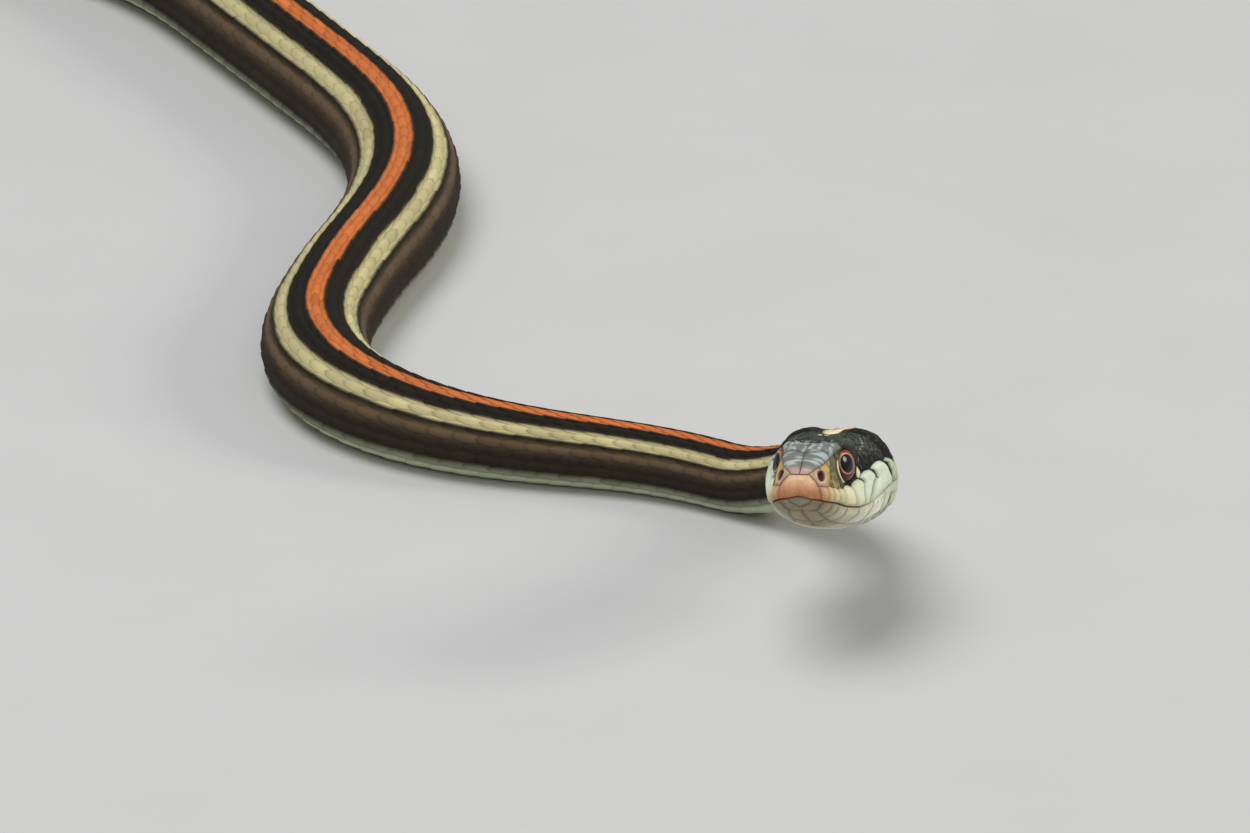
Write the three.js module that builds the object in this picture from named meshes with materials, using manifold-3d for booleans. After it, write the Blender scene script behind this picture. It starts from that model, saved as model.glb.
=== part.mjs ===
// A slender garter snake at life size, lying belly-down with its head lifted.
// Millimetres, +Z up. The model is first laid out with its mouth above x = 0, y = 0,
// heading towards -Y, and at the end its origin moves to the bottom centre of its box.
import * as THREE from "three";
import { mergeVertices } from "three/addons/utils/BufferGeometryUtils.js";
import Module from "manifold-3d";

const wasm = await Module();
wasm.setup();

// Pose of the head. It is straight from the snout to where the path of the body starts
const headLength = 17.5;
const pathStart = 13.5;
const mouthHeight = 17;
const headYaw = THREE.MathUtils.degToRad(13.5);
const headPitch = THREE.MathUtils.degToRad(19);
const headRoll = THREE.MathUtils.degToRad(3.5);

// Gap between touching pieces, the rise of the head's shields, and how far each keeps inside its
// own outline
const gap = 0.3;
const shieldRise = 0.12;
const shieldGap = 0.07;

// The nape arches up behind the head, and the neck comes down to the floor by neckDrop
const napeLength = 6;
const napePitch = THREE.MathUtils.degToRad(1);
const neckDrop = 32;
const rollFade = 24;

// Bends of the body from the head to the tail tip: length, then turn in degrees, left is positive
const bends = [
  [4, 0], [26, 68.5], [17, 21], [51, -89], [8, -4], [50, 43], [20, 0], [94, 152],
  [36, -22], [38, 16], [96, -186], [54, 50], [60, -92], [72, 88],
];
const bodyLength = bends.reduce((sum, bend) => sum + bend[0], 0);

// Sections of the head, from the snout back:
// place, half width, top, bottom, level of the widest point, squareness, side taper, belly flat
const headSections = [
  [0, 0.9, 1.5, 0.35, 0.9, 2.2, 0, 1],
  [0.2, 1.5, 1.9, -0.2, 0.65, 2.3, 0.02, 1],
  [0.6, 2.05, 2.35, -0.7, 0.4, 2.6, 0.05, 1],
  [1.2, 2.5, 2.95, -1.1, 0.3, 3, 0.1, 1],
  [2.6, 3, 3.9, -1.65, 0.2, 3.6, 0.18, 1],
  [4.8, 3.5, 4.65, -2.3, 0.1, 3.4, 0.18, 1],
  [7, 4, 4.95, -2.8, 0.1, 3, 0.18, 1],
  [10, 4.75, 5.1, -3.25, 0.3, 2.7, 0.16, 1],
  [13, 5.5, 5.2, -3.5, 0.6, 2.6, 0.1, 1.01],
  [15, 5.85, 5.25, -3.55, 0.8, 2.6, 0.04, 1.02],
  [17.5, 5.3, 5, -3.6, 0.6, 2.4, 0.02, 1.04],
  [20, 4.2, 4.4, -3.1, 0.3, 2.1, 0, 1.06],
];

// Body behind the head: place from the snout, half width, height as a part of the width
const bodySections = [
  [23, 3.45, 0.87], [30, 3.3, 0.87], [52, 3.5, 0.85], [92, 4.95, 0.82], [142, 5.3, 0.8],
  [240, 5.5, 0.8], [345, 5.2, 0.8], [447, 4.35, 0.82], [462, 3.95, 0.84], [538, 2.6, 0.88],
  [617, 0.95, 0.9], [pathStart + bodyLength, 0.3, 0.9],
];
const axisShare = 0.42;
const bellyFlat = 1.07;

// Height of the mouth line along the head, its arch under the snout's front, and its corner
const mouthLine = [
  [-1, -0.28], [0.4, -0.3], [1.2, -0.48], [3, -0.7], [5, -1.03], [7.5, -1.19], [9.2, -0.96],
  [10.4, -0.5], [12.1, 0.26], [13.6, 0.85],
];
const mouthArch = 0.28;
const mouthArchSpread = 0.85;
const mouthCorner = 13.6;

// The eye is a flattened ball
const eye = { x: 6, side: 2.7, height: 2.62, radius: 1.6, depth: 0.95, forward: 21, upward: 8 };
const nostril = { x: 0.92, side: 1.9, height: 1.88, length: 0.32, depth: 0.4, tall: 0.55 };

// Where the neck and the torso end, from the snout
const neckEnd = 60.5;
const ventPlace = 463.5;
const neckParts = 2;
const torsoParts = 16;
const tailParts = 6;
const bodySides = 16;
const ringStep = 4.5;
const headSides = 30;
const headStep = 0.8;
const mouthStep = 0.84;
const mouthSides = 8;

const colours = {
  crown: 0x32342f, lip: 0xc3d2b4, back: 0x1e1a12, eye: 0x78321e,
};

function material(colour, roughness) {
  return new THREE.MeshStandardMaterial({ color: colour, roughness, metalness: 0 });
}

function smooth(t) {
  const c = THREE.MathUtils.clamp(t, 0, 1);
  return c * c * (3 - 2 * c);
}

// Smooth curve through points that doesn't overshoot between them
function curveThrough(points) {
  const slopes = points.map((point, i) => {
    if (i === 0 || i === points.length - 1) return 0;
    const [x0, y0] = points[i - 1];
    const [x1, y1] = point;
    const [x2, y2] = points[i + 1];
    const before = (y1 - y0) / (x1 - x0);
    const after = (y2 - y1) / (x2 - x1);
    return before * after > 0 ? (2 * before * after) / (before + after) : 0;
  });
  const last = points.length - 1;
  slopes[0] = (points[1][1] - points[0][1]) / (points[1][0] - points[0][0]);
  slopes[last] = (points[last][1] - points[last - 1][1]) / (points[last][0] - points[last - 1][0]);
  return (x) => {
    if (x <= points[0][0]) return points[0][1];
    if (x >= points[last][0]) return points[last][1];
    let i = 0;
    while (x > points[i + 1][0]) i += 1;
    const width = points[i + 1][0] - points[i][0];
    const t = (x - points[i][0]) / width;
    const t2 = t * t;
    const t3 = t2 * t;
    return (2 * t3 - 3 * t2 + 1) * points[i][1] + (t3 - 2 * t2 + t) * width * slopes[i]
      + (3 * t2 - 2 * t3) * points[i + 1][1] + (t3 - t2) * width * slopes[i + 1];
  };
}

const stations = headSections.concat(bodySections.map(([place, half, ratio]) => {
  const height = 2 * half * ratio;
  return [place, half, (1 - axisShare) * height, -axisShare * height, 0, 2, 0, bellyFlat];
}));
const column = (k) => curveThrough(stations.map((station) => [station[0], station[k]]));
const [halfWidth, top, bottom, widest, squareness, taper, flat] = [1, 2, 3, 4, 5, 6, 7].map(column);
const mouthLevel = curveThrough(mouthLine);

function hump(distance, spread) {
  return Math.exp(-(distance * distance) / (spread * spread));
}

// How much higher the mouth line is near the middle of the snout's front
function archRise(place, side) {
  return mouthArch * hump(side, mouthArchSpread) * (1 - smooth(place / 2));
}

// How far the head's surface stands out from its plain section
function relief(x, side, height) {
  if (x > 20) return 0;
  const onSide = smooth((Math.abs(side) - 1.5) / 1.5);
  const brow = 0.4 * hump(x - 6.3, 2) * hump(Math.abs(side) - 2.4, 1.1) * hump(height - 4.4, 0.8);
  const eyeHollow = -0.3 * hump(x - eye.x, 1.6) * hump(height - eye.height, 1.3) * onSide;
  const cheekHollow = -0.15 * hump(x - 3.7, 1.2) * hump(height - 2.3, 0.9) * onSide;
  const lipFade = smooth(x / 1.5) * (1 - smooth((x - 12.5) / 2.5));
  const upperLip = 0.18 * hump(height - mouthLevel(x) - 0.55, 0.55) * lipFade;
  const lowerLip = 0.12 * hump(height - mouthLevel(x) + 0.55, 0.5) * lipFade;
  const jawMuscle = 0.5 * hump(x - 15.2, 2.4) * hump(Math.abs(side) - 2.8, 1.9) * smooth(height / 4);
  const napeGroove = -0.3 * hump(x - 15, 2.8) * hump(side, 0.9) * smooth(height / 4);
  return brow + eyeHollow + cheekHollow + upperLip + lowerLip + jawMuscle + napeGroove;
}

// A point of the surface: place from the snout, angle round from the back, and extra thickness
function surfacePoint(place, angle, extra) {
  const upper = Math.cos(angle) >= 0;
  const power = upper ? squareness(place) : 2.25;
  const sine = Math.sin(angle);
  const cosine = Math.cos(angle);
  const reach = (Math.abs(sine) ** power + Math.abs(cosine) ** power) ** (-1 / power);
  const rise = reach * cosine;
  const low = bottom(place);
  const level = widest(place);
  const span = upper ? top(place) - level : (level - low) * flat(place);
  const narrowing = upper ? 1 - taper(place) * rise : 1;
  const side = halfWidth(place) * reach * sine * narrowing;
  const height = Math.max(level + span * rise, low);
  const out = extra + relief(place, side, height);
  const under = mouthLevel(place) + archRise(place, side) - height;
  const chinStep = 0.35 * smooth(under / 0.3) * (1 - smooth(place / 3));
  return [place + chinStep, side + out * sine, height + out * cosine];
}

// Heading and plan of the path that the body follows, sampled at a fine step
const pathStep = 0.25;
const yawHeading = Math.PI / 2 - headYaw;
function heading(along) {
  let angle = yawHeading;
  let start = 0;
  for (const [length, turn] of bends) {
    angle += THREE.MathUtils.degToRad(turn) * smooth((along - start) / length);
    start += length;
  }
  return angle;
}
const neckStart = new THREE.Vector3(
  Math.sin(headYaw) * Math.cos(headPitch) * pathStart,
  Math.cos(headYaw) * Math.cos(headPitch) * pathStart,
  mouthHeight - Math.sin(headPitch) * pathStart,
);
const plan = [[neckStart.x, neckStart.y]];
for (let k = 1; k * pathStep <= bodyLength; k += 1) {
  const angle = heading((k - 0.5) * pathStep);
  const [x, y] = plan[k - 1];
  plan.push([x + Math.cos(angle) * pathStep, y + Math.sin(angle) * pathStep]);
}

function planPoint(along) {
  const k = Math.min(Math.floor(along / pathStep), plan.length - 2);
  const t = along / pathStep - k;
  return [0, 1].map((axis) => plan[k][axis] * (1 - t) + plan[k + 1][axis] * t);
}

// A cubic curve from one [along, height, slope] to the next
function curveBetween([a0, z0, slope0], [a1, z1, slope1], along) {
  const t = (along - a0) / (a1 - a0);
  return (2 * t ** 3 - 3 * t ** 2 + 1) * z0 + (t ** 3 - 2 * t ** 2 + t) * slope0 * (a1 - a0)
    + (3 * t ** 2 - 2 * t ** 3) * z1 + (t ** 3 - t ** 2) * slope1 * (a1 - a0);
}

// Height of the body's axis: level behind the head, then down until the belly is on the floor
function axisHeight(along) {
  if (along >= neckDrop) return -bottom(pathStart + along);
  const head = [0, neckStart.z, -Math.tan(headPitch)];
  const fall = (napeLength * (Math.tan(headPitch) + Math.tan(napePitch))) / 2;
  const nape = [napeLength, neckStart.z - fall, -Math.tan(napePitch)];
  const floor = [neckDrop, -bottom(pathStart + neckDrop), 0];
  return along < napeLength ? curveBetween(head, nape, along) : curveBetween(nape, floor, along);
}

// Axes at a place on the path: back along the body, to the animal's right, and up
function bodyFrame(along) {
  const angle = heading(along);
  const delta = 0.05;
  const raised = along < neckDrop;
  const drop = axisHeight(Math.max(along, 0) + delta) - axisHeight(Math.max(along, 0));
  const slope = raised ? Math.atan2(drop, delta) : 0;
  const back = new THREE.Vector3(
    Math.cos(angle) * Math.cos(slope), Math.sin(angle) * Math.cos(slope), Math.sin(slope),
  );
  const right = new THREE.Vector3(-Math.sin(angle), Math.cos(angle), 0);
  right.applyAxisAngle(back, -headRoll * (1 - smooth(along / rollFade)));
  const up = new THREE.Vector3().crossVectors(back, right);
  const [x, y] = planPoint(along);
  return { origin: new THREE.Vector3(x, y, axisHeight(along)), back, right, up };
}

// A point given by its place from the snout, distance to the right and height, set in the pose
function posedPoint(place, side, height) {
  const { origin, back, right, up } = bodyFrame(Math.max(place - pathStart, 0));
  return origin.addScaledVector(back, Math.min(place - pathStart, 0))
    .addScaledVector(right, side).addScaledVector(up, height);
}

function posed(geometry) {
  const p = geometry.getAttribute("position");
  for (let k = 0; k < p.count; k += 1) {
    p.setXYZ(k, ...posedPoint(p.getX(k), p.getY(k), p.getZ(k)).toArray());
  }
  geometry.computeVertexNormals();
  return geometry;
}

// Closed solid through rings of points, with a flat fan at each end
function loftGeometry(rings) {
  const count = rings[0].length;
  const positions = rings.flat(2);
  const triangles = [];
  for (let i = 0; i + 1 < rings.length; i += 1) {
    for (let j = 0; j < count; j += 1) {
      const next = (j + 1) % count;
      const [a, b] = [i * count + j, i * count + next];
      triangles.push(a, b, a + count, b, b + count, a + count);
    }
  }
  for (const [ring, base] of [[rings[0], 0], [rings.at(-1), (rings.length - 1) * count]]) {
    const centre = positions.length / 3;
    for (let axis = 0; axis < 3; axis += 1) {
      positions.push(ring.reduce((sum, point) => sum + point[axis], 0) / count);
    }
    for (let j = 0; j < count; j += 1) {
      const next = (j + 1) % count;
      if (base === 0) triangles.push(centre, next, j);
      else triangles.push(centre, base + j, base + next);
    }
  }
  const geometry = new THREE.BufferGeometry();
  geometry.setAttribute("position", new THREE.Float32BufferAttribute(positions, 3));
  geometry.setIndex(triangles);
  return faceOut(geometry);
}

// Turns the faces of a closed geometry outward
function faceOut(geometry) {
  const p = geometry.getAttribute("position");
  const index = geometry.getIndex().array;
  const [a, b, c] = [new THREE.Vector3(), new THREE.Vector3(), new THREE.Vector3()];
  let volume = 0;
  for (let k = 0; k < index.length; k += 3) {
    a.fromBufferAttribute(p, index[k]);
    b.fromBufferAttribute(p, index[k + 1]);
    c.fromBufferAttribute(p, index[k + 2]);
    volume += a.dot(b.cross(c));
  }
  if (volume < 0) {
    const flipped = [];
    for (let k = 0; k < index.length; k += 3) flipped.push(index[k], index[k + 2], index[k + 1]);
    geometry.setIndex(flipped);
  }
  return geometry;
}

function solid(geometry) {
  const plain = geometry.clone();
  plain.deleteAttribute("normal");
  plain.deleteAttribute("uv");
  const merged = faceOut(mergeVertices(plain, 1e-4));
  return new wasm.Manifold(new wasm.Mesh({
    numProp: 3,
    vertProperties: new Float32Array(merged.getAttribute("position").array),
    triVerts: new Uint32Array(merged.getIndex().array),
  }));
}

function geometryOf(manifold) {
  const mesh = manifold.getMesh();
  const geometry = new THREE.BufferGeometry();
  geometry.setAttribute("position", new THREE.Float32BufferAttribute(mesh.vertProperties, 3));
  geometry.setIndex(Array.from(mesh.triVerts));
  return geometry;
}

const ringAngles = (sides) => Array.from({ length: sides }, (_, k) => (2 * Math.PI * k) / sides);

// The head whole, in its own axes: x back from the mouth, y to its right, z up
function headLoft(extra) {
  const places = [0, 0.1, 0.3, 0.6, 1, 1.5, 2];
  const front = places.at(-1);
  const end = headLength - gap / 2;
  const count = Math.round((end - front) / headStep);
  for (let k = 1; k <= count; k += 1) places.push(front + ((end - front) * k) / count);
  return solid(loftGeometry(places.map((place) => (
    ringAngles(headSides).map((angle) => surfacePoint(place, angle, extra))
  ))));
}

// An outline moved outward by an amount, or inward by a negative one
function grown(outline, amount) {
  const points = outline.map(([a, b]) => new THREE.Vector2(a, b));
  const turning = Math.sign(THREE.ShapeUtils.area(points));
  const normals = points.map((point, k) => {
    const edge = points[(k + 1) % points.length].clone().sub(point).normalize();
    return new THREE.Vector2(edge.y, -edge.x).multiplyScalar(turning);
  });
  return points.map((point, k) => {
    const before = normals.at(k - 1);
    const sum = before.clone().add(normals[k]);
    const moved = point.addScaledVector(sum, amount / Math.max(1 + before.dot(normals[k]), 0.4));
    return [moved.x, moved.y];
  });
}

// A straight-sided block over an outline seen from above ("top"), the side or the front
function block(outline, view, from, to) {
  const points = outline.map(([a, b]) => new THREE.Vector2(a, b));
  const geometry = new THREE.ExtrudeGeometry(new THREE.Shape(points), {
    depth: to - from, bevelEnabled: false,
  });
  const p = geometry.getAttribute("position");
  for (let k = 0; k < p.count; k += 1) {
    const [a, b, c] = [p.getX(k), p.getY(k), p.getZ(k) + from];
    if (view === "top") p.setXYZ(k, a, b, c);
    if (view === "side") p.setXYZ(k, a, c, b);
    if (view === "front") p.setXYZ(k, c, a, b);
  }
  return solid(geometry);
}

const mirrored = (outline) => outline.map(([a, b]) => [a, -b]);
const doubled = (outline) => outline.concat(mirrored(outline).reverse());

// Shields seen from above, on both sides of the midline: place, then distance from it
const crownEdge = [
  [0, 0.4], [0.4, 0.8], [0.8, 1.25], [1.3, 1.65], [1.9, 1.93], [3.1, 2.2], [4.6, 2.43], [6, 2.6],
  [7.6, 2.8], [8.6, 3.05], [9.6, 3.4], [11.2, 3.42], [12.4, 2.95], [13.4, 2.1],
];
const frontal = [
  [4.95, 0], [4.88, 0.75], [5.1, 1.3], [6.6, 1], [8, 0.85], [9.1, 0], [8, -0.85], [6.6, -1],
  [5.1, -1.3], [4.88, -0.75],
];
const crownPairs = [
  [[-1, 0], [-1, 3], [3.35, 3], [3.24, 1.7], [2.5, 0]],
  [[2.5, 0], [3.24, 1.7], [3.35, 3], [5.3, 3], [5.75, 2.15], [5.1, 1.3], [4.88, 0.75], [4.95, 0]],
  [[4.6, 1], [5.75, 2.15], [5.3, 3.6], [8.2, 3.6], [8.3, 2.3], [8, 0.7]],
  [[9.1, 0], [7.8, 0.8], [8.3, 2.3], [8.2, 4], [12.9, 4], [13.35, 2.3], [13.2, 1.2], [12.55, 0]],
];
const chinEdge = [
  [1.45, 0.05], [1.9, 1.3], [4.4, 1.55], [6.2, 1.65], [7.6, 1.95], [9.6, 2.5], [11.1, 3.1],
  [12.5, 4.4], [14.5, 5.2],
];
const chinPairs = [
  [[1.5, 0], [1.6, 0.5], [2, 1.6], [4.6, 1.7], [5.4, 0.9], [5.3, 0]],
  [[5.5, 0.05], [5.5, 0.9], [4.5, 1.9], [8, 2.3], [9.2, 2.5], [9.8, 1.6], [9.4, 0.8], [7, 0.15]],
];

// Shields seen from the front: side, then height
const rostral = [
  [-1.95, -1], [-2.02, 0.1], [-1.88, 0.75], [-1.5, 1.4], [-0.92, 2], [0.92, 2], [1.5, 1.4],
  [1.88, 0.75], [2.02, 0.1], [1.95, -1],
];
const mental = [
  [-1.2, 0.4], [1.2, 0.4], [1.15, -0.3], [0.85, -0.6], [0.1, -0.95], [-0.1, -0.95],
  [-0.85, -0.6], [-1.15, -0.3],
];

// Shields seen from the side: place, then height. The lips' run on past the mouth line
const upperLips = [
  [[0, -2], [0, 0.92], [0.6, 0.95], [1.22, 0.85], [1.2, -2]],
  [[1.2, -2], [1.22, 0.85], [1.55, 0.95], [1.95, 0.78], [1.9, -2]],
  [[1.9, -2], [1.95, 0.78], [2.4, 0.8], [2.95, 0.6], [2.85, -2]],
  [[2.85, -2], [2.95, 0.6], [3.5, 0.74], [4.14, 0.62], [4.4, -2]],
  [[4, -2], [4, 0.6], [4.4, 0.85], [5.1, 0.95], [5.7, 0.88], [6.1, 0.7], [6.7, -1.2], [6.7, -2]],
  [[6.4, -2], [5.9, 0.6], [6.3, 1.05], [6.8, 1.28], [7.5, 1.38], [8.25, 1.25], [8.5, 1],
    [8.15, -0.1], [8.3, -2]],
  [[8.1, -2], [7.9, 0.8], [7.85, 1.45], [8.35, 1.82], [9, 2.05], [9.8, 2.15], [10.35, 2.1],
    [10.7, 1.88], [11, 1.5], [10.75, 1.25], [10.3, 0.95], [9.75, 0.3], [9.1, -0.5], [8.9, -2]],
  [[8.7, -2], [9, 0.4], [10.2, 1.8], [10.4, 2.3], [11, 2.58], [11.8, 2.82], [12.4, 2.87],
    [13.1, 2.72], [13.45, 2.35], [13.5, 1.5], [13.5, -2]],
  [[13, -2], [13, 2.8], [13.6, 3.12], [14.3, 3.02], [15, 2.5], [15.2, 1.2], [14.8, 0.2],
    [14.2, -2]],
];
const cheeks = [
  [[-1, -1], [-1, 4.5], [3.4, 4.5], [2.75, 3.1], [2.2, 2.3], [1.55, 1.13], [1.5, -1]],
  [[1.5, -1], [1.55, 1.13], [2.2, 2.3], [2.75, 3.1], [3.4, 4.5], [4.4, 4.5], [3.8, 3.3],
    [3.55, 2], [3.6, -1]],
  [[3.6, -1], [3.55, 2], [3.8, 3.3], [4.4, 4.5], [6, 5], [5.3, 2.6], [4.8, 0.8]],
  [[7.2, 2.5], [7, 5], [8.7, 5], [9.2, 3.4], [8.72, 2.84], [8.6, 2.3]],
  [[8.6, 2.3], [8.72, 2.84], [9.2, 3.4], [8.7, 5], [10.9, 5], [11.2, 3.5], [10.7, 2.2]],
  [[10.7, 2.2], [11.2, 3.5], [10.9, 5.6], [13.2, 5.6], [13.6, 4], [13.3, 2.6]],
];
const behindEye = { x: 7.78, height: 1.95, long: 0.4, tall: 0.5, corners: 10 };

// Sutures between the lower lip's shields: place at the mouth, then place and height lower down
const lowerSutures = [
  [0.2, 0.9, -1.2], [0.96, 2, -1.5], [2.2, 3.4, -2.2], [3.44, 4.5, -2.4], [5.32, 6.4, -2.7],
  [7.8, 8.8, -2.9], [10.1, 11.3, -2.9], [12.1, 13.1, -2.2], [13.4, 14.4, -1.6],
];
const lowerLips = lowerSutures.slice(1).map(([high1, low1, end1], k) => {
  const [high0, low0, end0] = lowerSutures[k];
  return [
    [high0, 1], [high0, mouthLevel(high0)], [low0, end0], [low0 + 0.3, -4], [low1 + 0.3, -4],
    [low1, end1], [high1, mouthLevel(high1)], [high1, 1],
  ];
});

// The space from low to high above the mouth line, its arch included
function mouthSlab(low, high) {
  const line = [];
  for (let x = -1; x <= headLength; x += mouthStep) line.push([x, mouthLevel(x)]);
  const above = line.map(([x, z]) => new THREE.Vector2(x, z + high));
  const below = line.map(([x, z]) => new THREE.Vector2(x, z + low));
  return acrossMouth(above.concat(below.reverse()));
}

// A block through the head from side to side, bent up with the mouth line's arch
function acrossMouth(outline) {
  const reach = 8;
  const crowding = 2.2;
  const geometry = new THREE.ExtrudeGeometry(new THREE.Shape(outline), {
    depth: 2, steps: mouthSides, bevelEnabled: false,
  });
  const p = geometry.getAttribute("position");
  for (let k = 0; k < p.count; k += 1) {
    const across = p.getZ(k) - 1;
    const side = Math.sign(across) * reach * Math.abs(across) ** crowding;
    p.setXYZ(k, p.getX(k), side, p.getY(k) + archRise(p.getX(k), side));
  }
  return solid(geometry);
}

// The blocks that cover the shields. They are laid in order, and each is trimmed by those before
// it, so an outline may run on under its neighbours
function shieldCover() {
  const upper = mouthSlab(gap / 4, 12);
  const lower = mouthSlab(-12, -gap / 4);
  const crown = block(grown(doubled(crownEdge), -shieldGap), "top", 1.5, 9);
  const cheek = upper.subtract(block(doubled(crownEdge), "top", -2, 9));
  const lip = lower.subtract(block(doubled(chinEdge), "top", -9, 2));
  const oval = ringAngles(behindEye.corners).map((angle) => [
    behindEye.x + behindEye.long * Math.cos(angle), behindEye.height + behindEye.tall * Math.sin(angle),
  ]);
  const above = (outline, from, to) => [outline, mirrored(outline)].map((o) => [o, "top", from, to]);
  const beside = (outline, near) => [[outline, "side", near, 8], [outline, "side", -8, -near]];
  const groups = [
    [upper, [[rostral, "front", -1, 0.95]]],
    [lower, [[mental, "front", -1, 1.6]]],
    [upper, upperLips.flatMap((outline) => beside(outline, 1))],
    [lip, lowerLips.flatMap((outline) => beside(outline, shieldGap))],
    [lower, chinPairs.flatMap((outline) => above(outline, -9, -0.8))],
    [crown, [[frontal, "top", 1.5, 9], ...crownPairs.flatMap((outline) => above(outline, 1.5, 9))]],
    [cheek, [oval, ...cheeks].flatMap((outline) => beside(outline, 0.5))],
  ];
  const covers = [];
  let taken = null;
  for (const [region, shields] of groups) {
    for (const [outline, ...reach] of shields) {
      const inside = block(grown(outline, -shieldGap), ...reach).intersect(region);
      const whole = block(outline, ...reach).intersect(region);
      covers.push(taken ? inside.subtract(taken) : inside);
      taken = taken ? taken.add(whole) : whole;
    }
  }
  return covers.reduce((sum, piece) => sum.add(piece));
}

// The thin cut that follows the mouth line and comes down behind the jaw
function mouthCut() {
  const line = [];
  for (let x = -1; x < mouthCorner; x += 0.6) line.push([x, mouthLevel(x)]);
  line.push([mouthCorner, mouthLevel(mouthCorner)], [14.6, 0.2], [15.1, -1.6], [15.3, -6]);
  const offset = line.map((point, k) => {
    const [x0, z0] = line[Math.max(k - 1, 0)];
    const [x1, z1] = line[Math.min(k + 1, line.length - 1)];
    const normal = new THREE.Vector2(z0 - z1, x1 - x0).setLength(gap / 2);
    return [normal.x, normal.y];
  });
  const upper = line.map(([x, z], k) => new THREE.Vector2(x + offset[k][0], z + offset[k][1]));
  const lower = line.map(([x, z], k) => new THREE.Vector2(x - offset[k][0], z - offset[k][1]));
  return acrossMouth(upper.concat(lower.reverse()));
}

// The eyeball, or with a margin its socket; hand is 1 for the animal's right and -1 for its left
function eyeBall(hand, margin) {
  const geometry = new THREE.SphereGeometry(1, 16, 11);
  geometry.scale(eye.radius + margin, eye.depth + margin, eye.radius + margin);
  geometry.rotateX(THREE.MathUtils.degToRad(eye.upward * hand));
  geometry.rotateZ(THREE.MathUtils.degToRad(eye.forward * hand));
  geometry.translate(eye.x, eye.side * hand, eye.height);
  return geometry;
}

function nostrilPit(hand) {
  const geometry = new THREE.SphereGeometry(1, 8, 6);
  geometry.scale(nostril.length, nostril.depth, nostril.tall);
  geometry.translate(nostril.x, nostril.side * hand, nostril.height);
  return geometry;
}

function headPieces() {
  const raised = headLoft(shieldRise).intersect(shieldCover());
  let whole = headLoft(0).add(raised).subtract(mouthCut());
  for (const hand of [1, -1]) {
    whole = whole.subtract(solid(eyeBall(hand, gap)));
    whole = whole.subtract(solid(nostrilPit(hand)));
  }
  return whole.decompose().sort((a, b) => b.volume() - a.volume()).slice(0, 2);
}

function bodyLengthMesh(name, from, to, colour) {
  const count = Math.max(Math.round((to - from) / ringStep), 2);
  const rings = [];
  const base = posedPoint(from, 0, 0);
  for (let k = 0; k <= count; k += 1) {
    const place = from + ((to - from) * k) / count;
    rings.push(ringAngles(bodySides).map((angle) => (
      posedPoint(...surfacePoint(place, angle, 0)).sub(base).toArray()
    )));
  }
  const mesh = new THREE.Mesh(loftGeometry(rings), material(colour, 0.45));
  mesh.name = name;
  mesh.position.copy(base);
  return mesh;
}

function bodyLengths() {
  const meshes = [];
  const stretches = [
    ["neck", headLength, neckEnd, neckParts], ["torso", neckEnd, ventPlace, torsoParts],
    ["tail", ventPlace, pathStart + bodyLength, tailParts],
  ];
  for (const [name, start, end, parts] of stretches) {
    for (let k = 0; k < parts; k += 1) {
      const from = start + ((end - start) * k) / parts + gap / 2;
      const to = start + ((end - start) * (k + 1)) / parts - gap / 2;
      meshes.push(bodyLengthMesh(`${name}_${k + 1}`, from, to, colours.back));
    }
  }
  return meshes;
}

function headMeshes() {
  const [upper, lower] = headPieces();
  const pieces = [
    ["head", geometryOf(upper), material(colours.crown, 0.35)],
    ["lower_jaw", geometryOf(lower), material(colours.lip, 0.4)],
    ["eye_right", eyeBall(1, 0), material(colours.eye, 0.1)],
    ["eye_left", eyeBall(-1, 0), material(colours.eye, 0.1)],
  ];
  return pieces.map(([name, geometry, finish]) => {
    const mesh = new THREE.Mesh(posed(geometry), finish);
    mesh.name = name;
    return mesh;
  });
}

const snake = new THREE.Group();
snake.add(...headMeshes(), ...bodyLengths());
snake.updateMatrixWorld(true);
const box = new THREE.Box3().setFromObject(snake, true);
snake.position.set(-(box.min.x + box.max.x) / 2, -(box.min.y + box.max.y) / 2, 0);

export default snake;
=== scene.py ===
"""A western ribbon snake, a slender garter snake, dressed for a still life-size model.

Sizes are in millimetres and repeat the solids' driving dimensions. Points are laid out with the
front of the mouth above x = 0, y = 0, heading towards -Y, and shift to the part's own origin when
a mesh is made. Along the body a place is its distance from the snout, and an angle goes round the
section from the middle of the back, positive to the animal's right.
"""

import itertools
import math

import bpy
import numpy as np
from mathutils import Matrix, Vector


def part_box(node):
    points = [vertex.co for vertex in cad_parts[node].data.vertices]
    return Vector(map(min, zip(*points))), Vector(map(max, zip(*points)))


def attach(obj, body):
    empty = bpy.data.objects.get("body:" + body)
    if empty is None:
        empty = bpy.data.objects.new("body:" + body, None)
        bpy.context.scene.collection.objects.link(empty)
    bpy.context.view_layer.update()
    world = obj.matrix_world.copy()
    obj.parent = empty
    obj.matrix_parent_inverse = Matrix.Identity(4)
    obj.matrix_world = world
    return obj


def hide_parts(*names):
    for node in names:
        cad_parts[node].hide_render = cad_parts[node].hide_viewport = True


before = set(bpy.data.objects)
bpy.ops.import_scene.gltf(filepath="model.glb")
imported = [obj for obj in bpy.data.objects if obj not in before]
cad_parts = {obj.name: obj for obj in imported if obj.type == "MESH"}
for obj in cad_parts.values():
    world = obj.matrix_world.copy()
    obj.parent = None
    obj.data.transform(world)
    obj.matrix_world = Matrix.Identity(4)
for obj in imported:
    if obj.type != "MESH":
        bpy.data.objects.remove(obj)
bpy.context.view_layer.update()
random = np.random.default_rng(7)

MM = 0.001
PHOTO_WIDTH, PHOTO_HEIGHT = 1250, 833

# Pose of the head, and the neck's way down to the floor
PATH_START = 13.5
MOUTH_HEIGHT = 17.0
HEAD_YAW = math.radians(13.5)
HEAD_PITCH = math.radians(19)
HEAD_ROLL = math.radians(3.5)
NAPE_LENGTH = 6.0
NAPE_PITCH = math.radians(1)
NECK_DROP = 32.0
ROLL_FADE = 24.0

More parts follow.
